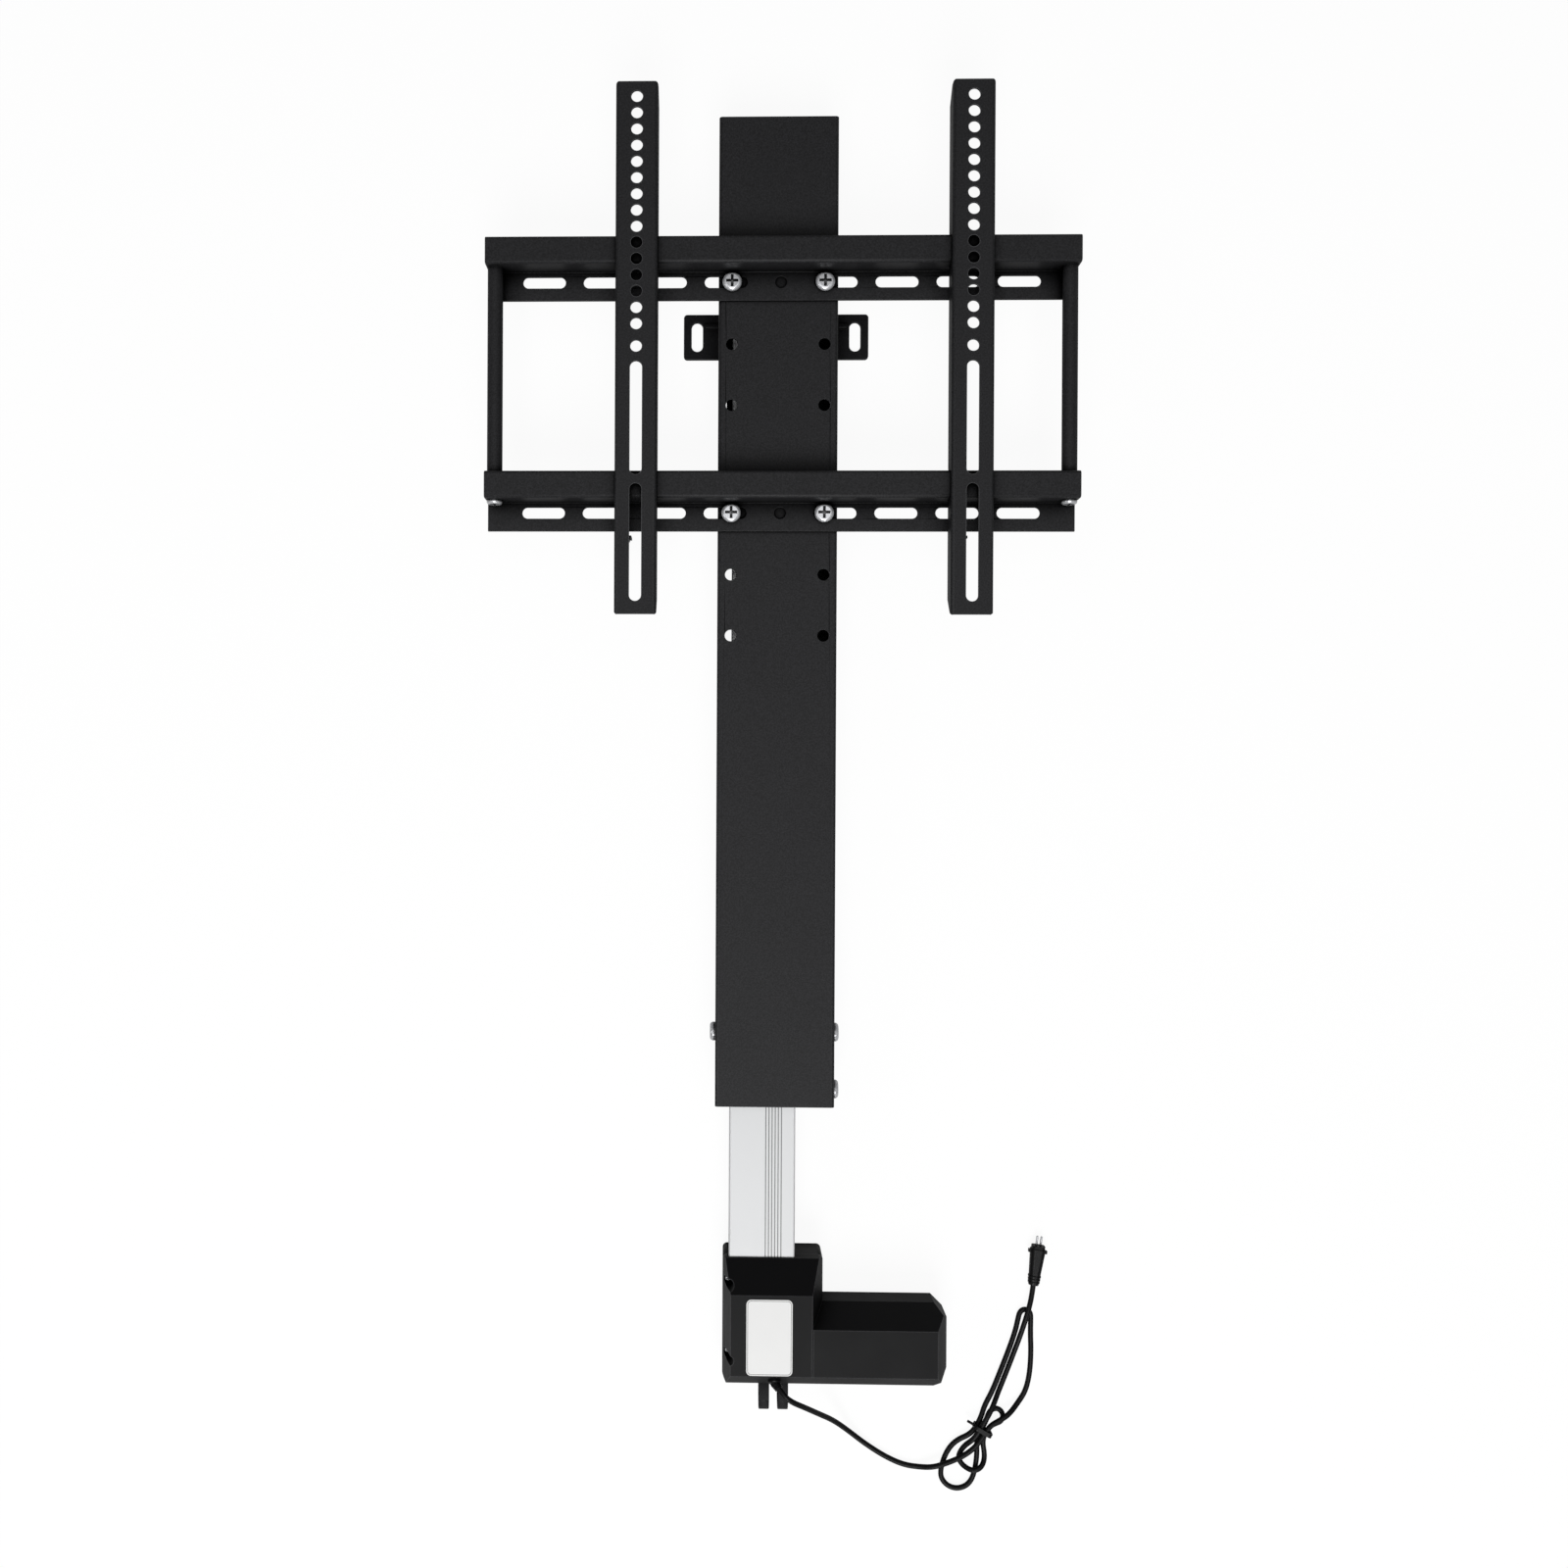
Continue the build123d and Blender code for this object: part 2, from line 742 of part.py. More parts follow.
with BuildPart() as wall_plate:
    with BuildSketch():
        with BuildLine():
            FilletPolyline(
                (lift_x - plate_ear_half, ear_top_y),
                (lift_x - plate_ear_half, ear_bottom_y),
                (lift_x - plate_stem_half, ear_bottom_y),
                (lift_x - plate_stem_half, stem_bottom_y),
                (lift_x + plate_stem_half, stem_bottom_y),
                (lift_x + plate_stem_half, ear_bottom_y),
                (lift_x + plate_ear_half, ear_bottom_y),
                (lift_x + plate_ear_half, ear_top_y),
                close=True,
                radius=plate_corner,
            )
        make_face()
        with Locations((lift_x, ear_middle_y)):
            with GridLocations(ear_slot_spacing, ear_slot_spacing, 2, 1):
                SlotOverall(ear_slot_length, ear_slot_width, rotation=90, mode=Mode.SUBTRACT)
    extrude(amount=plate_thickness)
    # stiffening beads pressed into the ears
    for side in (-1, 1):
        with BuildSketch(Plane.XY.offset(plate_thickness)):
            with Locations((lift_x + side * (bead_outer + bead_inner) / 2, ear_top_y - bead_drop)):
                SlotOverall(bead_outer - bead_inner, bead_width)
        extrude(amount=bead_height)
        top_edges = wall_plate.faces().sort_by(Axis.Z)[-1].edges()
        fillet(top_edges, bead_height * bead_round_share)
    with BuildSketch():
        with Locations(*plate_screw_places):
            Circle(plate_head_d / 2 + slip)
    extrude(amount=plate_head_height, mode=Mode.SUBTRACT)
    with BuildSketch():
        with Locations(*plate_screw_places):
            Circle(plate_screw_d / 2 + slip)
    extrude(amount=plate_thickness, mode=Mode.SUBTRACT)
save(wall_plate, "wall_plate")

with BuildPart() as plate_pad:
    with BuildSketch(Plane.XY.offset(plate_thickness)):
        with Locations((lift_x + (track_right - track_left) / 2, track_top_y - pad_inset)):
            Rectangle(
                track_left + track_right - 2 * pad_inset,
                pad_length,
                align=(Align.CENTER, Align.MAX),
            )
        with Locations(*plate_screw_places):
            Circle(plate_screw_d / 2 + slip, mode=Mode.SUBTRACT)
    extrude(amount=track_back_z - plate_thickness)
save(plate_pad, "plate_pad")

with BuildPart() as plate_screws:
    with BuildSketch():
        with Locations(*plate_screw_places):
            Circle(plate_head_d / 2)
    extrude(amount=plate_head_height)
    with BuildSketch():
        with Locations(*plate_screw_places):
            Circle(plate_screw_d / 2 - slip)
    extrude(amount=track_back_z + plate_screw_bite - slip)
save(plate_screws, "plate_screws")


# Slide block, glide pads and nut: what the screw pushes up and down the track

block_top_y = column_bottom_y + block_above_edge + block_length
pad_room = pad_thickness + running_gap

with BuildPart() as slide_block:
    with BuildSketch(level(block_top_y)) as block_section:
        with Locations((lift_x, block_back_z)):
            Rectangle(
                2 * column_inner_half, column_inner_z - block_back_z, align=(Align.CENTER, Align.MIN)
            )
        chamfer(block_section.vertices(), block_chamfer)
        with Locations((lift_x - track_left - pad_room, block_back_z - overrun)):
            Rectangle(
                track_left + track_right + 2 * pad_room,
                track_front_z + pad_room - block_back_z + overrun,
                align=(Align.MIN, Align.MIN),
                mode=Mode.SUBTRACT,
            )
        with Locations((lift_x + (block_pocket_from + block_pocket_to) / 2, screw_z)):
            RectangleRounded(
                block_pocket_to - block_pocket_from, block_pocket_height, track_corner, mode=Mode.SUBTRACT
            )
    extrude(amount=block_length)
    with BuildSketch(Plane.YZ.offset(lift_x + track_right)):
        with Locations((nut_y, screw_z)):
            Rectangle(nut_key_length + 2 * slip, nut_key_height + 2 * slip)
    extrude(amount=pad_room + nut_key_depth + slip, mode=Mode.SUBTRACT)
    for side, station in side_screws:
        with BuildSketch(Plane.YZ.offset(lift_x + side * (column_inner_half + overrun))):
            with Locations((station, side_screw_z)):
                Circle(side_screw_d / 2 + slip)
        extrude(amount=-side * (side_screw_length + 2 * overrun), mode=Mode.SUBTRACT)
save(slide_block, "slide_block")

with BuildPart() as glide_pads:
    with BuildSketch(level(block_top_y)):
        # left pad, with a tongue in the guide groove
        with Locations((lift_x - track_left - pad_room, (block_back_z + track_front_z) / 2)):
            Rectangle(
                pad_thickness,
                track_front_z - block_back_z - 2 * pad_end_gap,
                align=(Align.MIN, Align.CENTER),
            )
        with Locations((lift_x - track_left - pad_room + pad_thickness / 2, screw_z)):
            Rectangle(
                pad_thickness / 2 + groove_depth - tongue_gap,
                slot_height - 2 * running_gap,
                align=(Align.MIN, Align.CENTER),
            )
        # right pad, above the slot that the nut's key passes through
        with Locations((lift_x + track_right + running_gap, track_front_z - pad_end_gap)):
            Rectangle(
                pad_thickness,
                (track_front_z - track_back_z - slot_height) / 2 - 2 * pad_end_gap,
                align=(Align.MIN, Align.MAX),
            )
        # front pads, on each side of the ribbed band
        band_half = rib_pitch * rib_count / 2
        with Locations((lift_x - (track_left + band_half) / 2, track_front_z + running_gap)):
            Rectangle(
                track_left - band_half - 2 * pad_end_gap, pad_thickness, align=(Align.CENTER, Align.MIN)
            )
        with Locations((lift_x + (track_right + band_half) / 2, track_front_z + running_gap)):
            Rectangle(
                track_right - band_half - 2 * pad_end_gap, pad_thickness, align=(Align.CENTER, Align.MIN)
            )
    extrude(amount=block_length)
save(glide_pads, "glide_pads")

with BuildPart() as drive_nut:
    with BuildSketch(level(nut_y + nut_length / 2)):
        with Locations((lift_x, screw_z)):
            Circle(nut_d / 2)
    extrude(amount=nut_length)
    with BuildSketch(level(nut_y + nut_key_length / 2)):
        with Locations((lift_x, screw_z)):
            Rectangle(
                track_right + pad_room + nut_key_depth, nut_key_height, align=(Align.MIN, Align.CENTER)
            )
    extrude(amount=nut_key_length)
    with BuildSketch(level(nut_y + nut_length / 2 + overrun)):
        with Locations((lift_x, screw_z)):
            Circle(screw_d / 2 + screw_running)
    extrude(amount=nut_length + 2 * overrun, mode=Mode.SUBTRACT)
save(drive_nut, "drive_nut")

with BuildPart() as carriage_screws:
    for side, station in side_screws:
        seat = Plane((lift_x + side * column_width / 2, station, side_screw_z), (0, 1, 0), (side, 0, 0))
        grip = sheet + side_screw_length
        add(dome_screw(seat, side_head_d, side_head_height, side_screw_d, grip, side_recess))
save(carriage_screws, "carriage_screws")


# Lead screw, its bearings and its bush

bearing_top_y = track_bottom_y - collar_depth
bearing_low_y = core_bottom_y + lower_bearing_rise

with BuildPart() as lead_screw:
    for top, bottom, diameter in (
        (track_top_y - slip, track_top_y - bush_length - running_gap, screw_tip_d),
        (track_top_y - bush_length - running_gap, bearing_top_y, screw_d),
        (bearing_top_y, bearing_low_y, journal_d),
    ):
        with BuildSketch(level(top)):
            with Locations((lift_x, screw_z)):
                Circle(diameter / 2)
        extrude(amount=top - bottom)
save(lead_screw, "lead_screw")

with BuildPart() as screw_bearings:
    upper_seat = Plane((lift_x, bearing_top_y, screw_z), (1, 0, 0), (0, -1, 0))
    add(ring(upper_seat, upper_bearing_d, journal_d + 2 * screw_running, upper_bearing_width))
    lower_seat = Plane((lift_x, bearing_low_y + lower_bearing_width, screw_z), (1, 0, 0), (0, -1, 0))
    add(ring(lower_seat, lower_bearing_d, journal_d + 2 * screw_running, lower_bearing_width))
save(screw_bearings, "screw_bearings")

with BuildPart() as screw_bush:
    top_seat = Plane((lift_x, track_top_y, screw_z), (1, 0, 0), (0, -1, 0))
    add(ring(top_seat, chamber_d - 2 * slip, screw_tip_d + 2 * screw_running, bush_length))
save(screw_bush, "screw_bush")

# Worm wheel on the screw, and the worm on the motor's shaft

tooth_height = 2.25 * gear_module
tooth_root = gear_pitch_d / 2 - 1.25 * gear_module
tooth_pitch = math.pi * gear_module

with BuildPart() as worm_wheel:
    with BuildSketch(level(drive_y + gear_width / 2)):
        with Locations((lift_x, screw_z)):
            Circle(tooth_root)
            with PolarLocations(tooth_root, gear_teeth):
                Polygon(
                    (-tooth_height / 2, -tooth_pitch * tooth_foot_share),
                    (tooth_height, -tooth_pitch * tooth_tip_share),
                    (tooth_height, tooth_pitch * tooth_tip_share),
                    (-tooth_height / 2, tooth_pitch * tooth_foot_share),
                    align=None,
                )
            Circle(journal_d / 2 + slip / 2, mode=Mode.SUBTRACT)
    extrude(amount=gear_width)
save(worm_wheel, "worm_wheel")

with BuildPart() as worm_shaft:
    with BuildSketch(Plane.YZ.offset(lift_x - core_left)):
        with Locations((drive_y, worm_z)):
            Circle(worm_shaft_d / 2)
    extrude(amount=core_left + core_right + shaft_in_motor)
    with BuildSketch(Plane.YZ.offset(lift_x - worm_length / 2)):
        with Locations((drive_y, worm_z)):
            Circle(worm_core_d / 2)
    extrude(amount=worm_length)
save(worm_shaft, "worm_shaft")

with BuildPart() as worm_bearing:
    worm_seat = Plane((lift_x - core_left, drive_y, worm_z), (0, 1, 0), (1, 0, 0))
    add(ring(worm_seat, worm_bearing_d, worm_shaft_d + 2 * screw_running, worm_bearing_width))
save(worm_bearing, "worm_bearing")

with BuildPart() as drive_motor:
    with BuildSketch(Plane.YZ.offset(lift_x + core_right)):
        with Locations((drive_y, worm_z)):
            Circle(motor_d / 2)
    extrude(amount=motor_length)
    chamfer(drive_motor.edges().filter_by(GeomType.CIRCLE), motor_corner)
    with BuildSketch(Plane.YZ.offset(lift_x + core_right)):
        with Locations((drive_y, worm_z)):
            Circle(worm_shaft_d / 2 + screw_running)
    extrude(amount=shaft_in_motor + overrun, mode=Mode.SUBTRACT)
save(drive_motor, "drive_motor")

# Gearbox block: it carries the track, both shafts and the motor

with BuildPart() as gearbox_block:
    with BuildSketch(Plane.XY.offset(wall)):
        with Locations((lift_x - core_left, core_bottom_y)):
            Rectangle(core_left + core_right, track_bottom_y - core_bottom_y, align=(Align.MIN, Align.MIN))
    extrude(amount=core_top_z - wall)
    with BuildSketch(Plane.XY.offset(core_top_z)):
        with Locations((lift_x - core_left, housing_bottom_y + core_nose_to)):
            Rectangle(
                core_left + core_right,
                drive_rise + core_nose_from - core_nose_to,
                align=(Align.MIN, Align.MIN),
            )
    extrude(amount=core_nose_z - core_top_z)
    for top, depth, diameter in (
        (track_bottom_y, collar_depth, screw_d + 2 * collar_gap),
        (bearing_top_y, upper_bearing_width, upper_bearing_d),
        (track_bottom_y, track_bottom_y - bearing_low_y, journal_d + 2 * collar_gap),
        (drive_y + gear_chamber_half, 2 * gear_chamber_half, gear_chamber_d),
        (bearing_low_y + lower_bearing_width, lower_bearing_width, lower_bearing_d),
    ):
        with BuildSketch(level(top)):
            with Locations((lift_x, screw_z)):
                Circle(diameter / 2)
        extrude(amount=depth, mode=Mode.SUBTRACT)
    with BuildSketch(Plane.YZ.offset(lift_x - core_left)):
        with Locations((drive_y, worm_z)):
            Circle(worm_bearing_d / 2)
    extrude(amount=core_left + core_right, mode=Mode.SUBTRACT)
save(gearbox_block, "gearbox_block")

# Clevis under the gearbox, with its pin hole

clevis_x = lift_x + clevis_offset
clevis_pin_y = clevis_tip_y + clevis_tip_round
clevis_pin_z = (clevis_low_z + clevis_high_z) / 2

with BuildPart() as rear_clevis:
    with BuildSketch(Plane.YZ.offset(clevis_x - clevis_width / 2)):
        with Locations((clevis_pin_y, clevis_pin_z)):
            Circle(clevis_tip_round)
            Rectangle(
                core_bottom_y - clevis_pin_y, 2 * clevis_tip_round, align=(Align.MIN, Align.CENTER)
            )
    extrude(amount=clevis_width)
    with BuildSketch(Plane.XY.offset(clevis_low_z - overrun)):
        with Locations((clevis_x, clevis_tip_y - overrun)):
            Rectangle(
                clevis_gap, clevis_reach - clevis_root + overrun, align=(Align.CENTER, Align.MIN)
            )
    extrude(amount=2 * clevis_tip_round + 2 * overrun, mode=Mode.SUBTRACT)
    with BuildSketch(Plane.YZ.offset(clevis_x - clevis_width / 2 - overrun)):
        with Locations((clevis_pin_y, clevis_pin_z)):
            Circle(clevis_pin_d / 2)
    extrude(amount=clevis_width + 2 * overrun, mode=Mode.SUBTRACT)
save(rear_clevis, "rear_clevis")


# Moulded housing: two shells with bevelled sides

def body_form(inset):
    """The part of the housing round the gearbox, drawn in by inset."""
    with BuildPart() as form:
        with BuildSketch(Plane.YZ.offset(lift_x)):
            with BuildLine():
                Polyline(
                    (housing_bottom_y, 0),
                    (housing_bottom_y, housing_belly_z),
                    (housing_bottom_y + housing_face_bottom, housing_front_z),
                    (housing_bottom_y + housing_face_top, housing_front_z),
                    (housing_top_y, housing_shoulder_z),
                    (housing_top_y, 0),
                    close=True,
                )
            make_face()
            offset(amount=-inset, kind=Kind.INTERSECTION)
        extrude(amount=2 * housing_half, both=True)
        with BuildSketch(level(housing_top_y)):
            with BuildLine():
                Polyline(
                    (lift_x - housing_half, 0),
                    (lift_x - housing_half, housing_split_z),
                    (lift_x - housing_face_left, housing_front_z),
                    (lift_x + housing_face_right, housing_front_z),
                    (lift_x + housing_half, housing_split_z),
                    (lift_x + housing_half, 0),
                    close=True,
                )
            make_face()
            offset(amount=-inset, kind=Kind.INTERSECTION)
        extrude(amount=housing_length, mode=Mode.INTERSECT)
        with BuildSketch():
            with Locations((lift_x, housing_bottom_y + housing_length / 2)):
                RectangleRounded(
                    2 * (housing_half - inset), housing_length - 2 * inset, housing_corner - inset
                )
        extrude(amount=housing_front_z, mode=Mode.INTERSECT)
    return form.part


def motor_form(inset):
    """The part of the housing round the motor, drawn in by inset."""
    with BuildPart() as form:
        with BuildSketch(Plane.YZ.offset(lift_x)):
            with BuildLine():
                Polyline(
                    (housing_bottom_y, motor_back_z),
                    (housing_bottom_y, housing_belly_z),
                    (housing_bottom_y + housing_face_bottom, housing_front_z),
                    (housing_bottom_y + motor_face_rise, housing_front_z),
                    (housing_bottom_y + motor_top_rise, housing_split_z),
                    (housing_bottom_y + motor_top_rise, motor_back_z),
                    close=True,
                )
            make_face()
            offset(amount=-inset, kind=Kind.INTERSECTION)
        extrude(amount=motor_end_x)
        with BuildSketch(level(housing_top_y)):
            with BuildLine():
                Polyline(
                    (lift_x, motor_back_z),
                    (lift_x + motor_end_x, motor_back_z),
                    (lift_x + motor_end_x, motor_end_taper_z),
                    (lift_x + motor_face_end, housing_front_z),
                    (lift_x, housing_front_z),
                    close=True,
                )
            make_face()
            offset(amount=-inset, kind=Kind.INTERSECTION)
        extrude(amount=housing_length, mode=Mode.INTERSECT)
        with BuildSketch():
            with BuildLine():
                Polyline(
                    (lift_x, housing_bottom_y),
                    (lift_x + motor_end_x - motor_cut_bottom, housing_bottom_y),
                    (lift_x + motor_end_x, housing_bottom_y + motor_cut_bottom),
                    (lift_x + motor_end_x, housing_bottom_y + motor_top_rise - motor_cut_top),
                    (lift_x + motor_end_x - motor_cut_top, housing_bottom_y + motor_top_rise),
                    (lift_x, housing_bottom_y + motor_top_rise),
                    close=True,
                )
            make_face()
            offset(amount=-inset, kind=Kind.INTERSECTION)
        extrude(amount=housing_front_z, mode=Mode.INTERSECT)
    return form.part


with BuildPart() as housing_outside:
    add(body_form(0))
    add(motor_form(0))

with BuildPart() as housing_inside:
    add(body_form(wall))
    add(motor_form(wall))


def case_posts(low_z, high_z):
    """The posts of the case screws between two heights, trimmed to the outside of the housing."""
    with BuildPart() as posts:
        with BuildSketch(Plane.XY.offset(low_z)):
            with Locations(*pocket_places):
                Circle(pocket_d / 2 + post_wall)
            with Locations(*back_screw_places):
                Circle(boss_d / 2)
        extrude(amount=high_z - low_z)
        add(housing_outside.part, mode=Mode.INTERSECT)
    return posts.part


def case_openings():
    """What both shells leave open: the track's mouth and the clevis's root."""
    with BuildPart() as openings:
        with BuildSketch(level(housing_top_y + overrun)):
            with Locations((lift_x - track_left - slip, track_back_z - slip)):
                Rectangle(
                    track_left + track_right + 2 * slip,
                    track_front_z - track_back_z + 2 * slip,
                    align=(Align.MIN, Align.MIN),
                )
        extrude(amount=track_sunk + overrun + slip)
        with BuildSketch(level(core_bottom_y)):
            with Locations((clevis_x, clevis_pin_z)):
                Rectangle(clevis_width + 2 * slip, 2 * clevis_tip_round + 2 * slip)
        extrude(amount=core_foot + overrun)
    return openings.part


with BuildPart() as housing_rear:
    add(housing_outside.part)
    add(housing_inside.part, mode=Mode.SUBTRACT)
    split(bisect_by=Plane.XY.offset(housing_split_z), keep=Keep.BOTTOM)
    add(case_posts(0, housing_split_z))
    add(case_openings(), mode=Mode.SUBTRACT)
    with BuildSketch(Plane.XY.offset(housing_split_z)):
        with Locations(*pocket_places):
            Circle(case_screw_d / 2 + slip)
    extrude(amount=-(housing_split_z - wall), mode=Mode.SUBTRACT)
    with BuildSketch(Plane.XY.offset(-overrun)):
        with Locations(*back_screw_places):
            Circle(case_screw_d / 2 + slip)
    extrude(amount=housing_split_z + 2 * overrun, mode=Mode.SUBTRACT)
    with BuildSketch(Plane.XY.offset(-overrun)):
        with Locations(*back_screw_places):
            Circle(case_head_d / 2 + slip)
    extrude(amount=overrun + motor_back_z + case_head_height, mode=Mode.SUBTRACT)
save(housing_rear, "housing_rear")

# The gland stands square to the bevel under the front face
bevel_rise = housing_front_z - housing_belly_z
bevel_length = math.hypot(bevel_rise, housing_face_bottom)
gland_plane = Plane(
    (
        lift_x + gland_offset,
        housing_bottom_y + housing_face_bottom / 2,
        (housing_front_z + housing_belly_z) / 2,
    ),
    (1, 0, 0),
    (0, -bevel_rise / bevel_length, housing_face_bottom / bevel_length),
)

with BuildPart() as housing_front:
    add(housing_outside.part)
    add(housing_inside.part, mode=Mode.SUBTRACT)
    split(bisect_by=Plane.XY.offset(housing_split_z), keep=Keep.TOP)
    add(case_posts(housing_split_z, housing_front_z))
    add(case_openings(), mode=Mode.SUBTRACT)
    with BuildSketch(Plane.XY.offset(pocket_floor_z)):
        with Locations(*pocket_places):
            Circle(pocket_d / 2)
    extrude(amount=housing_front_z, mode=Mode.SUBTRACT)
    with BuildSketch(Plane.XY.offset(housing_split_z)):
        with Locations(*pocket_places, *back_screw_places):
            Circle(case_screw_d / 2 + slip)
    extrude(amount=case_screw_bite, mode=Mode.SUBTRACT)
    # line where the gearbox part and the motor part of the face meet
    with BuildSketch(Plane.XY.offset(housing_front_z - seam_depth)):
        with Locations((lift_x + housing_face_right, housing_bottom_y)):
            Rectangle(seam_width, motor_face_rise, align=(Align.CENTER, Align.MIN))
    extrude(amount=housing_front_z, mode=Mode.SUBTRACT)
    with BuildSketch(gland_plane.offset(overrun)):
        Circle(gland_neck_d / 2 + slip)
    extrude(amount=-wall - 2 * overrun, mode=Mode.SUBTRACT)
save(housing_front, "housing_front")

with BuildPart() as case_screws:
    for x, y in pocket_places:
        seat = Plane((x, y, pocket_floor_z))
        length = pocket_floor_z - wall - running_gap
        add(dome_screw(seat, case_head_d, case_head_height, case_screw_d, length, case_recess))
    for x, y in back_screw_places:
        seat = Plane((x, y, motor_back_z + case_head_height), (1, 0, 0), (0, 0, -1))
        length = housing_split_z + case_screw_bite - motor_back_z - case_head_height - running_gap
        add(dome_screw(seat, case_head_d, case_head_height, case_screw_d, length, case_recess))
save(case_screws, "case_screws")

gland_root = gland_plane.origin + gland_plane.z_dir * gland_flange_height / 2
gland_heading = (
    gland_plane.z_dir * math.cos(math.radians(gland_lean))
    + gland_plane.x_dir * math.sin(math.radians(gland_lean))
)
gland_tip = gland_root + gland_heading * gland_body_length

with BuildPart() as cable_gland:
    with BuildSketch(gland_plane.offset(-wall)):
        Circle(gland_neck_d / 2)
    extrude(amount=wall)
    with BuildSketch(gland_plane):
        Circle(gland_flange_d / 2)
    extrude(amount=gland_flange_height)
    with BuildSketch(Plane(gland_root, z_dir=gland_heading)):
        Circle(gland_body_d / 2)
    extrude(amount=gland_body_length, taper=gland_taper)
save(cable_gland, "cable_gland")


# Cord: one lead from the gland to the connector, with three loops and a long bight under one tie

cord_step = cord_d + cord_gap
lie_z = cord_d / 2
over_z = lie_z + cord_step + cord_hump
low_z = tie_thickness + tie_clear + cord_d / 2
high_z = low_z + cord_step
tie_place = Vector(178.5, -567.5, 0)
connector_base = Vector(221.3, -443.0, connector_front_height / 2)
connector_heading = 82.9


def bundle(lanes, along, z):
    """A point of the tied bundle, so many strands across and so far along from the tie."""
    ahead = Vector(1, 0, 0).rotate(Axis.Z, tie_heading)
    aside = Vector(1, 0, 0).rotate(Axis.Z, tie_heading - 90)
    place = tie_place + ahead * along + aside * lanes * cord_step
    return (place.X, place.Y, z)


def bend(x, y, radius, start, turn, heights):
    """The corners of a loop's round end, which turns about x, y from the angle start."""
    half = turn / len(heights) / 2
    reach = radius / math.cos(math.radians(half))
    corners = []
    for i, z in enumerate(heights):
        spoke = Vector(reach, 0, 0).rotate(Axis.Z, start + (2 * i + 1) * half)
        corners.append((x + spoke.X, y + spoke.Y, z))
    return corners


gland_end = gland_tip + gland_heading * cord_d * 4 / 3
lead_route = [
    tuple(gland_tip),
    tuple(gland_end),
    (13.5, -524.6, 59.0),
    (24.0, -532.5, 49.5),
    (37.0, -544.0, 34.5),
    (50.5, -556.0, 18.5),
    (64.0, -569.5, 7.0),
    (78.0, -582.0, lie_z),
    (95.0, -592.8, lie_z),
    (111.0, -600.0, lie_z),
    (125.0, -602.0, lie_z),
    (137.0, -599.8, over_z),
    (150.0, -595.4, over_z),
    (163.5, -589.3, over_z),
    bundle(0.5, -12.0, high_z),
    bundle(0.5, -6.0, high_z),
]
# long bight to the right of the motor, then the lower left loop, the small upper loop and the inner loop
hank_route = [
    bundle(0.5, -6.0, high_z),
    bundle(0.5, 6.0, high_z),
    (193.2, -559.6, high_z - cord_hump),
    (200.8, -555.2, over_z + cord_hump),
    (209.6, -546.4, lie_z),
    (216.0, -535.5, lie_z),
    (219.3, -520.0, lie_z),
    (220.3, -502.0, lie_z),
    (219.6, -485.5, lie_z),
    *bend(215.0, -470.8, 5.0, 0, 180, [lie_z] * 4),
    (207.6, -485.5, lie_z),
    (202.0, -502.5, lie_z),
    (195.6, -521.0, lie_z),
    (188.0, -537.0, lie_z),
    (180.5, -548.6, lie_z),
    bundle(-1.05, 7.0, low_z),
    bundle(-1, -8.0, low_z),
    (156.4, -578.6, lie_z),
    (147.9, -589.2, lie_z),
    *bend(157.5, -605.5, 14.0, 165, 200, [lie_z] * 5),
    (174.8, -592.0, lie_z),
    bundle(0, -9.0, low_z),
    bundle(0, 6.0, low_z),
    *bend(190.0, -557.2, 6.5, 150, -215, [lie_z] * 5),
    bundle(1, 6.0, low_z),
    bundle(1, -8.0, low_z),
    *bend(169.9, -590.6, 11.3, 10, -200, [lie_z, over_z, over_z, lie_z, lie_z]),
    (163.2, -583.5, lie_z),
    bundle(-0.5, -9.0, high_z),
    bundle(-0.5, 7.0, high_z),
]
tail_route = [
    bundle(-0.5, 7.0, high_z),
    bundle(-0.5, 13.0, high_z),
    (187.8, -547.6, over_z),
    (194.2, -537.2, lie_z),
    (200.6, -523.2, lie_z),
    (207.2, -504.2, lie_z),
    (211.6, -489.5, (lie_z + 2 * over_z) / 3),
    (214.6, -476.0, over_z),
    (217.4, -464.0, over_z),
    (220.0, -453.5, connector_base.Z),
    tuple(connector_base),
]


def cord_tube(route, name):
    """One stretch of the cord: straight runs joined by arcs as large as the runs allow."""
    corners = [Vector(*point) for point in route]
    radii = []
    for before, here, after in zip(corners, corners[1:], corners[2:]):
        turn = math.radians((here - before).get_angle(after - here))
        shorter = min((here - before).length, (after - here).length)
        radii.append(cord_arc_share * shorter / math.tan(turn / 2))
    with BuildPart() as tube:
        with BuildLine() as path:
            line = FilletPolyline(*route, radius=radii)
        with BuildSketch(Plane(line @ 0, z_dir=line % 0)):
            Circle(cord_d / 2)
        sweep()
    save(tube, name)
    length = line.length
    share = tube.part.volume / (math.pi * (cord_d / 2) ** 2 * length)
    print(name, "length", round(length, 1), "volume over section times length", round(share, 4))
    print("   radii", [round(radius, 1) for radius in radii])
    return line


def least_gap(line):
    """The least gap of a tube to itself, between points that are not next to each other on it."""
    places = [line @ (i / cord_samples) for i in range(cord_samples + 1)]
    apart = math.ceil(2 * cord_step * cord_samples / line.length)
    nearest = min(
        (places[i] - places[j]).length
        for i in range(len(places))
        for j in range(i + apart, len(places))
    )
    return nearest - cord_d


cord_tube(lead_route, "cord_lead")
hank_line = cord_tube(hank_route, "cord_hank")
cord_tube(tail_route, "cord_tail")
print("least gap of the hank to itself", round(least_gap(hank_line), 2))

# Tie: a wrap round the five strands, with its twisted end

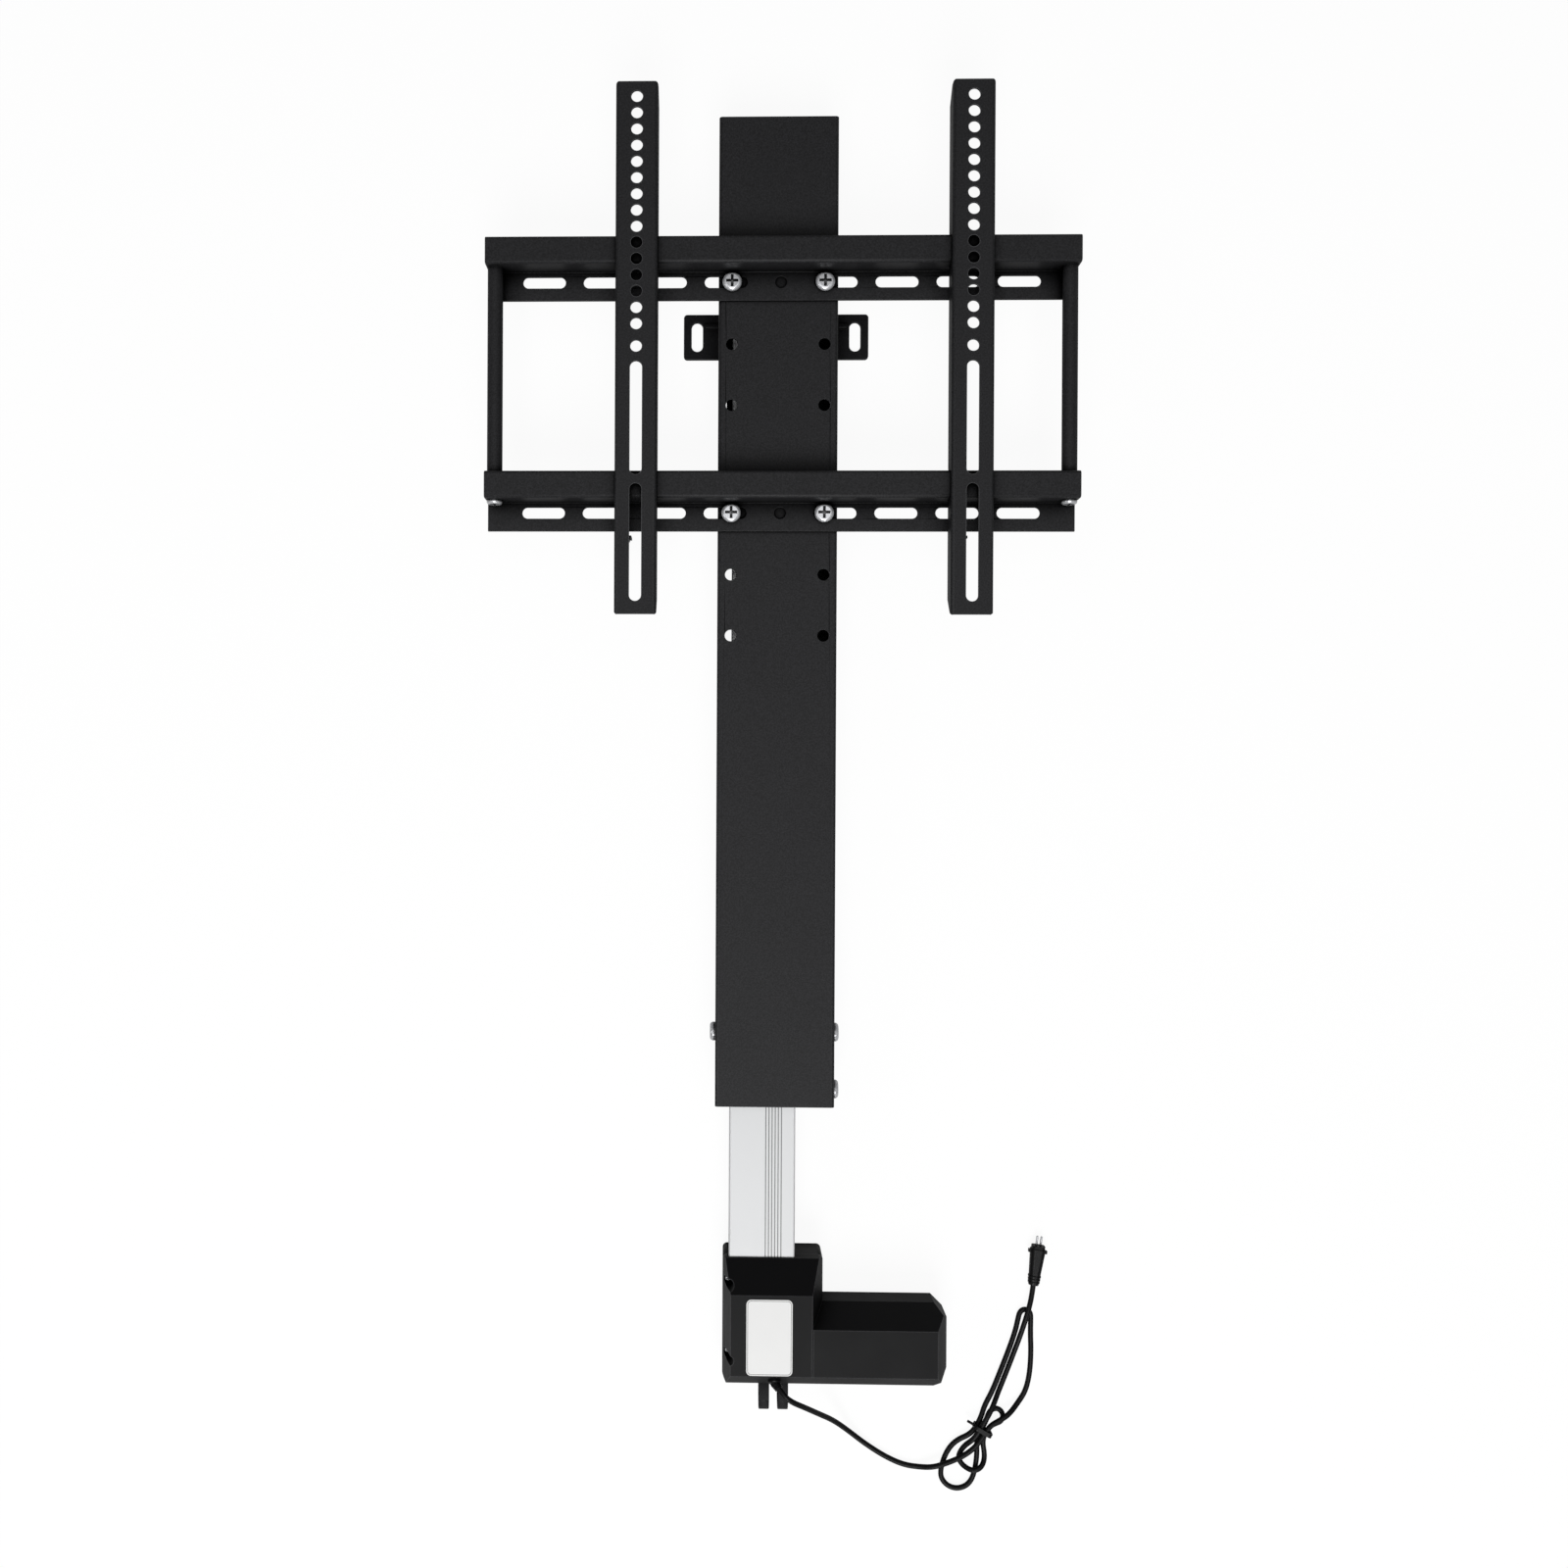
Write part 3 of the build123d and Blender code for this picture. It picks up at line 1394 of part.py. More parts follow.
wrap_half = cord_step + cord_d / 2 + tie_clear
wrap_top = high_z + cord_d / 2 + tie_clear
tie_plane = Plane(
    tie_place + Vector(0, 0, (wrap_top + tie_thickness) / 2),
    x_dir=Vector(1, 0, 0).rotate(Axis.Z, tie_heading - 90),
    z_dir=Vector(1, 0, 0).rotate(Axis.Z, tie_heading),
)

with BuildPart() as cord_tie:
    with BuildSketch(tie_plane):
        RectangleRounded(2 * (wrap_half + tie_thickness), wrap_top + tie_thickness, tie_corner)
        RectangleRounded(
            2 * wrap_half, wrap_top - tie_thickness, tie_corner - tie_thickness, mode=Mode.SUBTRACT
        )
    extrude(amount=tie_width / 2, both=True)
    nub_foot = tie_plane.origin - tie_plane.x_dir * (wrap_half + tie_thickness / 2)
    with BuildSketch(Plane(nub_foot, z_dir=-tie_plane.x_dir)):
        Circle(tie_tail_d / 2)
    extrude(amount=tie_tail_length)
save(cord_tie, "cord_tie")

# Connector with two pins

connector_way = Vector(1, 0, 0).rotate(Axis.Z, connector_heading)


def connector_section(along):
    """A plane across the connector, so far from its base, with its own +Y as +Z."""
    return Plane(
        connector_base + connector_way * along,
        x_dir=Vector(1, 0, 0).rotate(Axis.Z, connector_heading - 90),
        z_dir=connector_way,
    )


with BuildPart() as connector_body:
    with BuildSketch(connector_section(0)):
        RectangleRounded(connector_base_width, connector_base_height, connector_corner)
    with BuildSketch(connector_section(connector_length - connector_nose_length)):
        RectangleRounded(connector_front_width, connector_front_height, connector_corner)
    loft(ruled=True)
    with BuildSketch(connector_section(connector_length - connector_nose_length)):
        RectangleRounded(
            connector_front_width - 2 * connector_nose_step,
            connector_front_height - 2 * connector_nose_step,
            connector_corner - connector_nose_step,
        )
    extrude(amount=connector_nose_length)
    for i in range(connector_rib_count):
        along = connector_rib_first + i * connector_rib_pitch
        grown = along / connector_length * (connector_front_width - connector_base_width)
        with BuildSketch(connector_section(along)):
            RectangleRounded(
                connector_base_width + grown + 2 * connector_rib_out,
                connector_base_height + grown + 2 * connector_rib_out,
                connector_corner + connector_rib_out,
            )
        extrude(amount=connector_rib_length)
    with BuildSketch(connector_section(connector_length - lug_from_front - lug_length)):
        Rectangle(connector_front_width + 2 * lug_out, lug_height)
    extrude(amount=lug_length)
    with BuildSketch(connector_section(connector_length)):
        with GridLocations(pin_spacing, pin_spacing, 2, 1):
            Circle(pin_d / 2)
    extrude(amount=-pin_sunk, mode=Mode.SUBTRACT)
save(connector_body, "connector_body")

with BuildPart() as connector_pins:
    with BuildSketch(connector_section(connector_length - pin_sunk)):
        with GridLocations(pin_spacing, pin_spacing, 2, 1):
            Circle(pin_d / 2)
    extrude(amount=pin_sunk + pin_shown)
    chamfer(connector_pins.edges().sort_by(Axis((0, 0, 0), connector_way))[-2:], pin_d / 4)
save(connector_pins, "connector_pins")
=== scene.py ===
# %% [markdown]
# # A television lift on a white floor
#
# This lesson dresses a motor-driven television lift: a black steel column on an aluminium track,
# two slotted cross rails, two hook-on arms, a moulded motor housing and a tied low-voltage lead.
# The rigid pieces are already exact solids, so most of the work here is finish: powder coat,
# moulded plastic, anodised aluminium, zinc and a soft cord sheath. A few pieces too fine for the
# solids are modelled here.
#
# Blender measures in metres. A size that reads better in millimetres is written so and multiplied
# by mm.

# %% Load the lift
import math

import bpy
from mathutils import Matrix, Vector


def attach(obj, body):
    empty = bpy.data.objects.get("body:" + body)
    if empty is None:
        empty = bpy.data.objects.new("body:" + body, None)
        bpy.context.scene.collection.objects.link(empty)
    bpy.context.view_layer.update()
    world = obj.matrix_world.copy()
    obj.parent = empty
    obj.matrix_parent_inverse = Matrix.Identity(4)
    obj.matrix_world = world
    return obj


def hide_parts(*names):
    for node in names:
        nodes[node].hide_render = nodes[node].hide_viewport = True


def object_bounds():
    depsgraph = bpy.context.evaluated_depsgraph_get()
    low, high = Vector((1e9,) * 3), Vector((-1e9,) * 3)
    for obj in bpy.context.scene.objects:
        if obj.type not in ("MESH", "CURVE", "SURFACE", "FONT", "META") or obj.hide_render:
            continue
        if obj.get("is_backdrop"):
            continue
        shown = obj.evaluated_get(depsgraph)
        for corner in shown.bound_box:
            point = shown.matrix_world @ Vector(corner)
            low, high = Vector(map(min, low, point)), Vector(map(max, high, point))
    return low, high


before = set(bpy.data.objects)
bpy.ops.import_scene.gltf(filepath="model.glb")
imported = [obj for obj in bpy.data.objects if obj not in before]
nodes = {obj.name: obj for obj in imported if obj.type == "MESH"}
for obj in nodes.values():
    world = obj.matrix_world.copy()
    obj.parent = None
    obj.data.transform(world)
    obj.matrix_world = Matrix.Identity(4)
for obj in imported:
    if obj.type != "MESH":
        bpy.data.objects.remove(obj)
cad_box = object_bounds()
mm = 0.001
print("pieces", len(nodes), "box", [round(v, 4) for v in (*cad_box[0], *cad_box[1])])

# %% [markdown]
# ## The camera
#
# The lift is photographed from straight above while it lies on its back. A camera can be placed
# by eye, but then one corner fits and the next doesn't. Here its place was worked out from the
# corners and holes of the lift in the picture: about 1.26 m above the floor, almost square to it,
# with the frame moved a little to the right of the lens axis, which a small lens shift repeats.

# %% Camera above the lift
camera_place = (-0.04494, -0.02412, 1.25979)
camera_turn = [math.radians(angle) for angle in (-0.177, 1.410, 0.270)]
sensor_width = 36.0
lens_length = 33.58
frame_shift = (0.0614, 0.0082)

bpy.ops.object.camera_add(location=camera_place, rotation=camera_turn)
camera = bpy.context.object
camera.name = "overhead_camera"
camera.data.sensor_fit = "HORIZONTAL"
camera.data.sensor_width = sensor_width
camera.data.lens = lens_length
camera.data.shift_x = frame_shift[0]
camera.data.shift_y = frame_shift[1]
bpy.context.scene.camera = camera
print("camera", round(camera_place[2], 2), "m up, lens", lens_length, "mm")

# %% [markdown]
# ## Colours and nodes
#
# Colours are written as the hex values one would pick from a picture, which are sRGB. The shader
# works in linear light, so one function turns them over. Another adds a node with its settings
# and its links, which keeps every material short and readable from top to bottom. A pattern's
# Scale says how often it repeats in a metre, which is hard to picture, so a third works it out
# from the size of one repeat.


# %% Colours and nodes
def linear(hex_colour, alpha=1.0):
    """Linear RGBA of an sRGB hex colour."""
    channels = [int(hex_colour[i : i + 2], 16) / 255 for i in (1, 3, 5)]
    return (*[c / 12.92 if c <= 0.04045 else ((c + 0.055) / 1.055) ** 2.4 for c in channels], alpha)


def add_node(owner, kind, links=(), **settings):
    """Adds a node to a material or the world. Settings name its attributes or sockets, with _ for a
    space, and links pairs a socket with what feeds it."""
    node = owner.node_tree.nodes.new(kind)
    for name, value in settings.items():
        socket = node.inputs.get(name.replace("_", " "))
        if hasattr(node, name):
            setattr(node, name, value)
        elif socket is not None:
            socket.default_value = value
        else:
            raise ValueError(f"{kind} has no {name}")
    for socket, source in links:
        owner.node_tree.links.new(source, node.inputs[socket])
    return node


def feed(node, socket, source):
    """Links a source to a socket of a node that is already there."""
    node.id_data.links.new(source, node.inputs[socket])


print("#808080 in linear light", round(linear("#808080")[0], 3))


# %% A pattern's scale, and the start of a finish
def per_metre(size):
    """A pattern's Scale from the size of one repeat in millimetres."""
    return 1 / (size * mm)


def new_finish(name, colour, roughness, metallic=0.0, shine=0.5):
    """A material with its shader ready and its other nodes still to come."""
    material = bpy.data.materials.new(name)
    material.use_nodes = True
    shader = material.node_tree.nodes["Principled BSDF"]
    shader.inputs["Base Color"].default_value = linear(colour)
    shader.inputs["Roughness"].default_value = roughness
    shader.inputs["Metallic"].default_value = metallic
    shader.inputs["Specular IOR Level"].default_value = shine
    material.diffuse_color = linear(colour)
    return material, shader


print("a pattern that repeats every millimetre has scale", round(per_metre(1)))

# %% [markdown]
# ## Uneven gloss
#
# No coat, moulding, plating or sheath has the same gloss all over. One noise could vary the gloss
# and another lift the surface, but on a real piece the two go together. So one noise does both:
# its crests are raised a little, and are the dullest places.


# %% Gloss and height from one noise
crest_height = 0.3


def uneven_gloss(material, shader, size, gloss, bump=0.0, height=crest_height, detail=3.0, place=None):
    """Varies the roughness between the two values of gloss and, if bump is more than 0, lifts the
    surface. size is from one crest to the next, and height is how far a bump of 1 lifts it, both in
    millimetres."""
    if place is None:
        place = add_node(material, "ShaderNodeTexCoord").outputs["Object"]
    noise = add_node(
        material, "ShaderNodeTexNoise", [("Vector", place)], Scale=per_metre(size), Detail=detail
    )
    crests = noise.outputs["Fac"]
    dullness = add_node(
        material, "ShaderNodeMapRange", [("Value", crests)], To_Min=gloss[0], To_Max=gloss[1]
    )
    feed(shader, "Roughness", dullness.outputs["Result"])
    if bump > 0:
        raised = add_node(
            material, "ShaderNodeBump", [("Height", crests)], Strength=bump, Distance=height * mm
        )
        feed(shader, "Normal", raised.outputs["Normal"])
    return crests


print("a bump of 1 lifts the surface", crest_height, "mm")

# %% [markdown]
# ## Painted shade in cavities
#
# Under a flange, in a slot and behind an arm, where shade falls, the coat and the housing are
# painted darker: painted shade in both the colour and the shine. This could be painted on each
# piece by hand. The ambient occlusion node does it for all of them at once: it measures how closed
# in a point is, and its value dims both the colour and the shine there. The black coat and the
# moulded housing both use it.

# %% Painted shade in closed-in places
cavity_reach = 20.0
# painted shade: the near-black colour put into cavities, where shade falls
painted_shade_black = "#030303"


def paint_cavity_shade(material, shader, shine, closed, open_from):
    """Feeds the shader's shine from how open a place is, as painted shade on the shine, and returns
    that openness, from 0 to 1, the mask for painted shade in the colour.
    """
    opening = add_node(material, "ShaderNodeAmbientOcclusion", Distance=cavity_reach * mm, samples=8)
    openness = add_node(
        material,
        "ShaderNodeMapRange",
        [("Value", opening.outputs["AO"])],
        From_Min=closed,
        From_Max=open_from,
    )
    shine_here = add_node(
        material, "ShaderNodeMath", [(0, openness.outputs["Result"])], operation="MULTIPLY"
    )
    shine_here.inputs[1].default_value = shine
    feed(shader, "Specular IOR Level", shine_here.outputs["Value"])
    return openness.outputs["Result"]


print("cavities are felt within", cavity_reach, "mm")

# %% [markdown]
# ## Painted highlights on edges
#
# A real coat or moulding catches a fine line of light along every edge and hole rim. Here that
# line is a painted highlight: the colour is made lighter there. The mesh's own curvature would need
# far more points than these solids have. A bevel node needs none: it rounds the normal within about
# a millimetre of an edge, and where the rounded normal leaves the true one, there is an edge. The
# painted highlight is drawn a little wider than the real line of light, which would be too fine to show.

# %% Finding the edges
agreement_off_edge = 0.99
agreement_on_edge = 0.86


def edge_line(material, reach):
    """How much a place belongs to an edge, from 0 to 1. reach is in millimetres."""
    rounded = add_node(material, "ShaderNodeBevel", samples=8, Radius=reach * mm)
    true = add_node(material, "ShaderNodeNewGeometry")
    agreement = add_node(
        material,
        "ShaderNodeVectorMath",
        [(0, rounded.outputs["Normal"]), (1, true.outputs["Normal"])],
        operation="DOT_PRODUCT",
    )
    line = add_node(
        material,
        "ShaderNodeMapRange",
        [("Value", agreement.outputs["Value"])],
        From_Min=agreement_off_edge,
        From_Max=agreement_on_edge,
    )
    return line.outputs["Result"]


print("an edge shows from", round(math.degrees(math.acos(agreement_off_edge))), "degrees of rounding")

# %% [markdown]
# ## Painted highlight and painted shade in the colour
#
# The coat and the housing are coloured alike: the body's own colour on open faces, a painted
# highlight along the edges, and painted shade, nearly black, in the cavities. Two mixes in a row do
# it, and the cavities come last, because an edge in a cavity is shaded too.

# %% Body, painted edge highlights and painted cavity shade in one colour
# painted highlight colour along the coat's edges
coat_edge_highlight = "#636365"


def colour_with_painted_light(material, shader, body, edge_reach, edge_colour, openness):
    """Feeds the base colour: the body's, which is a hex colour or a socket, with a painted highlight
    along its edges and painted shade, nearly black, where openness is 0."""
    edged = add_node(material, "ShaderNodeMix", [(0, edge_line(material, edge_reach))], data_type="RGBA")
    if isinstance(body, str):
        edged.inputs[6].default_value = linear(body)
    else:
        feed(edged, 6, body)
    edged.inputs[7].default_value = linear(edge_colour)
    shaded = add_node(
        material, "ShaderNodeMix", [(0, openness), (7, edged.outputs[2])], data_type="RGBA"
    )
    shaded.inputs[6].default_value = linear(painted_shade_black)
    feed(shader, "Base Color", shaded.outputs[2])


# shows the painted shade colour of a cavity and the painted highlight colour of a coat's edge
print("wear runs from", painted_shade_black, "in a cavity to", coat_edge_highlight, "on an edge of the coat")

# %% [markdown]
# ## Powder coat
#
# The column, rails and arms are sheet steel in a black powder coat, which is baked from grains
# and keeps a fine orange peel, about a millimetre from one bump to the next. Two noises make it:
# one for the peel in the bump and in the tone, and a wide one, of patches as large as a palm,
# that varies the gloss a little, as hands and the oven do. The wall plate and the clevis have the
# same peel in a darker and flatter paint, so one function makes both.

# %% Powder-coated steel, and a flatter paint
peel_size = 1.1
peel_height = 0.4
palm_size = 55.0
# width of the painted highlight along the coat's edges, in millimetres
coat_highlight_reach = 0.9


def black_coat(name, dark, light, shine):
    """A black coat with orange peel: dark and light are the tones of its grain."""
    material, shader = new_finish(name, dark, roughness=0.46, shine=shine)
    uneven_gloss(material, shader, palm_size, gloss=(0.40, 0.52), detail=2.0)
    place = add_node(material, "ShaderNodeTexCoord").outputs["Object"]
    peel = add_node(
        material, "ShaderNodeTexNoise", [("Vector", place)], Scale=per_metre(peel_size), Detail=3.0
    )
    peel_bump = add_node(
        material,
        "ShaderNodeBump",
        [("Height", peel.outputs["Fac"])],
        Strength=0.16,
        Distance=peel_height * mm,
    )
    feed(shader, "Normal", peel_bump.outputs["Normal"])
    grain_colour = add_node(material, "ShaderNodeValToRGB", [("Fac", peel.outputs["Fac"])])
    grain_colour.color_ramp.elements[0].color = linear(dark)
    grain_colour.color_ramp.elements[0].position = 0.35
    grain_colour.color_ramp.elements[1].color = linear(light)
    grain_colour.color_ramp.elements[1].position = 0.68
    # painted shade in cavities and a painted highlight along the edges, over the grain's own tone
    openness = paint_cavity_shade(material, shader, shine, closed=0.42, open_from=0.96)
    colour_with_painted_light(material, shader, grain_colour.outputs["Color"], coat_highlight_reach, coat_edge_highlight, openness)
    return material


powder_coat = black_coat("powder_coated_steel", dark="#1e1e1f", light="#2e2e30", shine=0.15)
flat_paint = black_coat("flat_painted_steel", dark="#131314", light="#1e1e20", shine=0.08)
print("powder coat peel", peel_size, "mm, scale", round(per_metre(peel_size)))

# %% [markdown]
# ## Moulded housing
#
# The housing is ABS from a spark-eroded mould: dark grey, with an even fine grain that spreads
# highlights into wide soft bands. A noise would look like cloth or stone. A Voronoi pattern has
# the round craters that erosion leaves. Real ones are 0.1 to 0.3 mm wide, too fine to show from
# here, so cells of 0.65 mm are drawn as coarse as they need to be. A slow noise, 33 mm from crest
# to crest, clouds the gloss as uneven cooling does.

# %% Grained ABS
erosion_mark = 0.65
cooling_cloud = 33.0
# width and colour of the painted highlight along the housing's edges
mould_highlight_reach = 1.2
abs_edge_highlight = "#4c4c4e"
abs_black = "#131314"
abs_shine = 0.08

grained_abs, shader = new_finish("grained_abs", abs_black, roughness=0.42, shine=abs_shine)
uneven_gloss(grained_abs, shader, cooling_cloud, gloss=(0.36, 0.50), detail=4.0)
place = add_node(grained_abs, "ShaderNodeTexCoord").outputs["Object"]
marks = add_node(
    grained_abs, "ShaderNodeTexVoronoi", [("Vector", place)], Scale=per_metre(erosion_mark)
)
mark_bump = add_node(
    grained_abs,
    "ShaderNodeBump",
    [("Height", marks.outputs["Distance"])],
    Strength=0.10,
    Distance=crest_height * mm,
)
feed(shader, "Normal", mark_bump.outputs["Normal"])
# painted shade in cavities and a painted highlight along the housing's edges
openness = paint_cavity_shade(grained_abs, shader, abs_shine, closed=0.28, open_from=0.94)
colour_with_painted_light(grained_abs, shader, abs_black, mould_highlight_reach, abs_edge_highlight, openness)
print("erosion marks", erosion_mark, "mm, scale", round(per_metre(erosion_mark)))

# %% [markdown]
# ## Smooth black plastic
#
# The caps, the strain relief, the tie and the connector are polyamide from a polished mould,
# blacker and glossier than the housing. Only faint flow marks, a few millimetres apart, break the
# highlight. They could be left out at this distance, but a highlight with no break in it looks
# like wet paint.

# %% Polyamide
flow_mark = 4.5
smooth_plastic, shader = new_finish("smooth_polyamide", "#0e0e0f", roughness=0.34, shine=0.14)
uneven_gloss(smooth_plastic, shader, flow_mark, gloss=(0.28, 0.42), bump=0.06)
print("flow marks", flow_mark, "mm apart")

# %% [markdown]
# ## Anodised track
#
# The track is extruded aluminium with a natural anodised skin: nearly white, satin, with faint
# lines along the way it was drawn. The skin scatters light like a pale coat, so the material is
# only slightly metallic. The real lines are 0.1 to 0.3 mm apart. They are drawn at 0.7 mm, so
# that they show, from a noise that a Mapping node stretches fifty times along the lift. In the
# narrow ribs the ambient occlusion node darkens the colour, a painted shade, because the rendered
# shadow alone would stay too pale there.


# %% Painted shade in the grooves of a bright metal
rib_reach = 1.6
screw_reach = 5.0


def paint_recess_shade(material, shader, reach, dark, dark_until, bright, bright_from):
    """Base colour from how open a place is within reach, in millimetres: painted shade, dark in a
    groove, and the metal's own colour on open metal."""
    opening = add_node(material, "ShaderNodeAmbientOcclusion", Distance=reach * mm, samples=8)
    tone = add_node(material, "ShaderNodeValToRGB", [("Fac", opening.outputs["AO"])])
    tone.color_ramp.elements[0].color = linear(dark)
    tone.color_ramp.elements[0].position = dark_until
    tone.color_ramp.elements[1].color = linear(bright)
    tone.color_ramp.elements[1].position = bright_from
    feed(shader, "Base Color", tone.outputs["Color"])


print("recesses are felt within", rib_reach, "mm on the track and", screw_reach, "mm on a screw")

# %% Anodised aluminium, drawn along the lift
die_line = 0.7
line_stretch = 50
line_height = 0.2
anodised_white = "#dadbdc"

anodised, shader = new_finish("anodised_aluminium", anodised_white, roughness=0.42, metallic=0.12)
# painted shade: the colour turns near black in the track's narrow ribs
paint_recess_shade(
    anodised, shader, rib_reach, dark="#2a2a2b", dark_until=0.35, bright=anodised_white, bright_from=0.92
)
place = add_node(anodised, "ShaderNodeTexCoord").outputs["Object"]
drawn = add_node(anodised, "ShaderNodeMapping", [("Vector", place)], Scale=(1, 1 / line_stretch, 1))
uneven_gloss(
    anodised,
    shader,
    die_line,
    gloss=(0.34, 0.48),
    bump=0.08,
    height=line_height,
    place=drawn.outputs["Vector"],
)
print("die lines", die_line, "mm apart,", die_line * line_stretch, "mm long")

# %% [markdown]
# ## Screws, shafts and gears
#
# Screws are zinc-plated steel, brighter and smoother than the track, with a slight blue
# passivation that keeps them from being a full mirror. The shafts inside are ground steel, the
# gearbox is die-cast, and the nut, pads and wheel are natural acetal, which is no metal but has
# the same kind of grain. Each could have a pattern of its own, but all are small, so one function
# gives them one grain at their own size. Real plating and grinding are finer than 0.1 mm, so 1.1
# to 4 mm stands for the unevenness that shows from here.

# %% Zinc plate, ground steel, die-cast aluminium and acetal
brightest_share = 0.8
dullest_share = 1.25


def small_finish(name, colour, roughness, grain_size, bump, metallic=1.0):
    """A fine grain in the gloss and bump of a small piece, and painted shade in its recesses.
    grain_size is in millimetres.
    """
    material, shader = new_finish(name, colour, roughness, metallic)
    # painted shade: near black in a recess such as a screw's cross, the piece's colour on open metal
    paint_recess_shade(
        material, shader, screw_reach, dark="#101011", dark_until=0.62, bright=colour, bright_from=0.88
    )
    gloss = (roughness * brightest_share, roughness * dullest_share)
    uneven_gloss(material, shader, grain_size, gloss, bump=bump, detail=4.0)
    return material


zinc_plate = small_finish(
    "zinc_plated_steel", "#d8d9dc", roughness=0.26, grain_size=1.7, bump=0.05, metallic=0.6
)
ground_steel = small_finish("ground_steel", "#a9aaac", roughness=0.26, grain_size=1.1, bump=0.08)
die_cast = small_finish("die_cast_aluminium", "#9c9da0", roughness=0.5, grain_size=2.4, bump=0.2)
acetal = small_finish(
    "natural_acetal", "#dedbd0", roughness=0.38, grain_size=4.0, bump=0.04, metallic=0.0
)
print("small finishes", [finish.name for finish in (zinc_plate, ground_steel, die_cast, acetal)])

# %% [markdown]
# ## The cord's sheath
#
# The lead has a soft PVC sheath, black and half matt, drawn over its wires hot. It ripples
# slightly every few millimetres where it was coiled. A braid or a weave would be wrong here, so a
# plain noise gives that ripple.

# %% Soft PVC
sheath_ripple = 2.6
pvc_sheath, shader = new_finish("pvc_sheath", "#0b0b0c", roughness=0.40, shine=0.14)
uneven_gloss(pvc_sheath, shader, sheath_ripple, gloss=(0.34, 0.5), bump=0.10)
print("sheath ripple", sheath_ripple, "mm")

# %% [markdown]
# ## Which piece has which finish
#
# Each solid gets one finish. A table by finish is easier to check against the picture than one by
# piece.

# %% Dress the solids
finishes = {
    powder_coat: (
        "column_channel", "upper_rail", "lower_rail", "left_spacer_tube", "right_spacer_tube",
        "left_arm", "right_arm",
    ),
    flat_paint: ("wall_plate", "rear_clevis"),
    grained_abs: ("housing_front", "housing_rear"),
    smooth_plastic: (
        "column_cap", "track_end_cap", "plate_pad", "slide_block", "limit_switches", "cord_tie",
        "connector_body",
    ),
    anodised: ("track_rail",),
    zinc_plate: (
        "rail_screws", "rail_nuts", "spacer_screws", "carriage_screws", "case_screws", "plate_screws",
        "left_lock_screw", "right_lock_screw", "connector_pins",
    ),
    ground_steel: ("lead_screw", "worm_shaft", "screw_bearings", "worm_bearing", "drive_motor"),
    die_cast: ("gearbox_block",),
    acetal: ("drive_nut", "glide_pads", "screw_bush", "worm_wheel"),
}
for finish, names in finishes.items():
    for name in names:
        nodes[name].data.materials.clear()
        nodes[name].data.materials.append(finish)
print("dressed", sum(len(names) for names in finishes.values()), "solids")

# %% [markdown]
# ## Softened edges
#
# No real edge is a knife edge: sheet steel has a rolled burr under its coat and a moulding has a
# radius, and both catch a thin line of light. The painted highlight above only colours an edge, so
# the shape is softened too. The solids' meshes are loose triangles, so a weld joins them first, and
# then a bevel limited to sharp angles rounds the edges in the mesh itself, at most 0.5 mm on
# coated sheet and 0.8 mm on the moulded housing. It is less where small faces meet. Both are
# modifiers, so the solid under them stays as it is.

# %% Bevels by kind of piece
weld_reach = 0.01
sharp_from = math.radians(32)
edge_widths = {
    "column_channel": 0.5, "upper_rail": 0.5, "lower_rail": 0.5, "left_arm": 0.5, "right_arm": 0.5,
    "wall_plate": 0.4, "housing_front": 0.8, "housing_rear": 0.8, "rear_clevis": 0.6, "column_cap": 0.4,
    "track_end_cap": 0.3, "connector_body": 0.25, "cord_tie": 0.25,
}
for name, width in edge_widths.items():
    weld = nodes[name].modifiers.new("weld", "WELD")
    weld.merge_threshold = weld_reach * mm
    soft_edge = nodes[name].modifiers.new("soft_edge", "BEVEL")
    soft_edge.width = width * mm
    soft_edge.segments = 2
    soft_edge.limit_method = "ANGLE"
    soft_edge.angle_limit = sharp_from
    soft_edge.harden_normals = True
print("softened", len(edge_widths), "solids")

# %% [markdown]
# ## The cord
#
# The lead is 4.5 mm thick, soft, and all of it is in view: out of the gland, over the clevis,
# down to the floor, into a small hank held by a wrap, and on to its connector. It lies on the
# floor, so its middle is 2.25 mm up, and it climbs a little wherever it crosses itself. Straight
# tubes joined by arcs would look like bent wire. A NURBS curve with these points as its control
# points bends the way a real lead does, with no straight stretches between corners. The folds
# have their points closer together, so that the curve rounds them evenly.

# %% Route of the lead, in millimetres
lead_points = [
    (3.16, -514.62, 57.65), (6.6, -518.6, 60.5), (13.5, -524.6, 59.0), (24.0, -532.5, 49.5),
    (37.0, -544.0, 34.5), (50.5, -556.0, 18.5), (64.0, -569.5, 7.0), (78.0, -582.0, 2.25),
    (95.0, -592.8, 2.25), (111.0, -600.0, 2.25), (125.0, -602.0, 2.25), (137.0, -599.8, 7.45),
    (150.0, -595.4, 7.45), (163.5, -589.3, 7.45), (174.7, -579.1, 8.65), (183.7, -563.6, 8.65),
]
bight_points = [
    (193.2, -558.2, 8.45), (200.8, -553.6, 7.65), (209.6, -545.2, 2.25), (216.0, -535.0, 2.25),
    (219.3, -520.0, 2.25), (220.3, -502.0, 2.25), (219.7, -485.5, 2.25), (219.9, -472.8, 2.25),
    (219.6, -468.5, 2.25), (217.0, -465.6, 2.25), (213.0, -465.6, 2.25), (210.3, -468.5, 2.25),
    (209.3, -472.7, 2.25), (206.5, -485.5, 2.25), (200.5, -502.5, 2.25), (193.4, -521.0, 2.25),
    (187.0, -537.0, 2.25), (180.8, -548.6, 2.25),
]
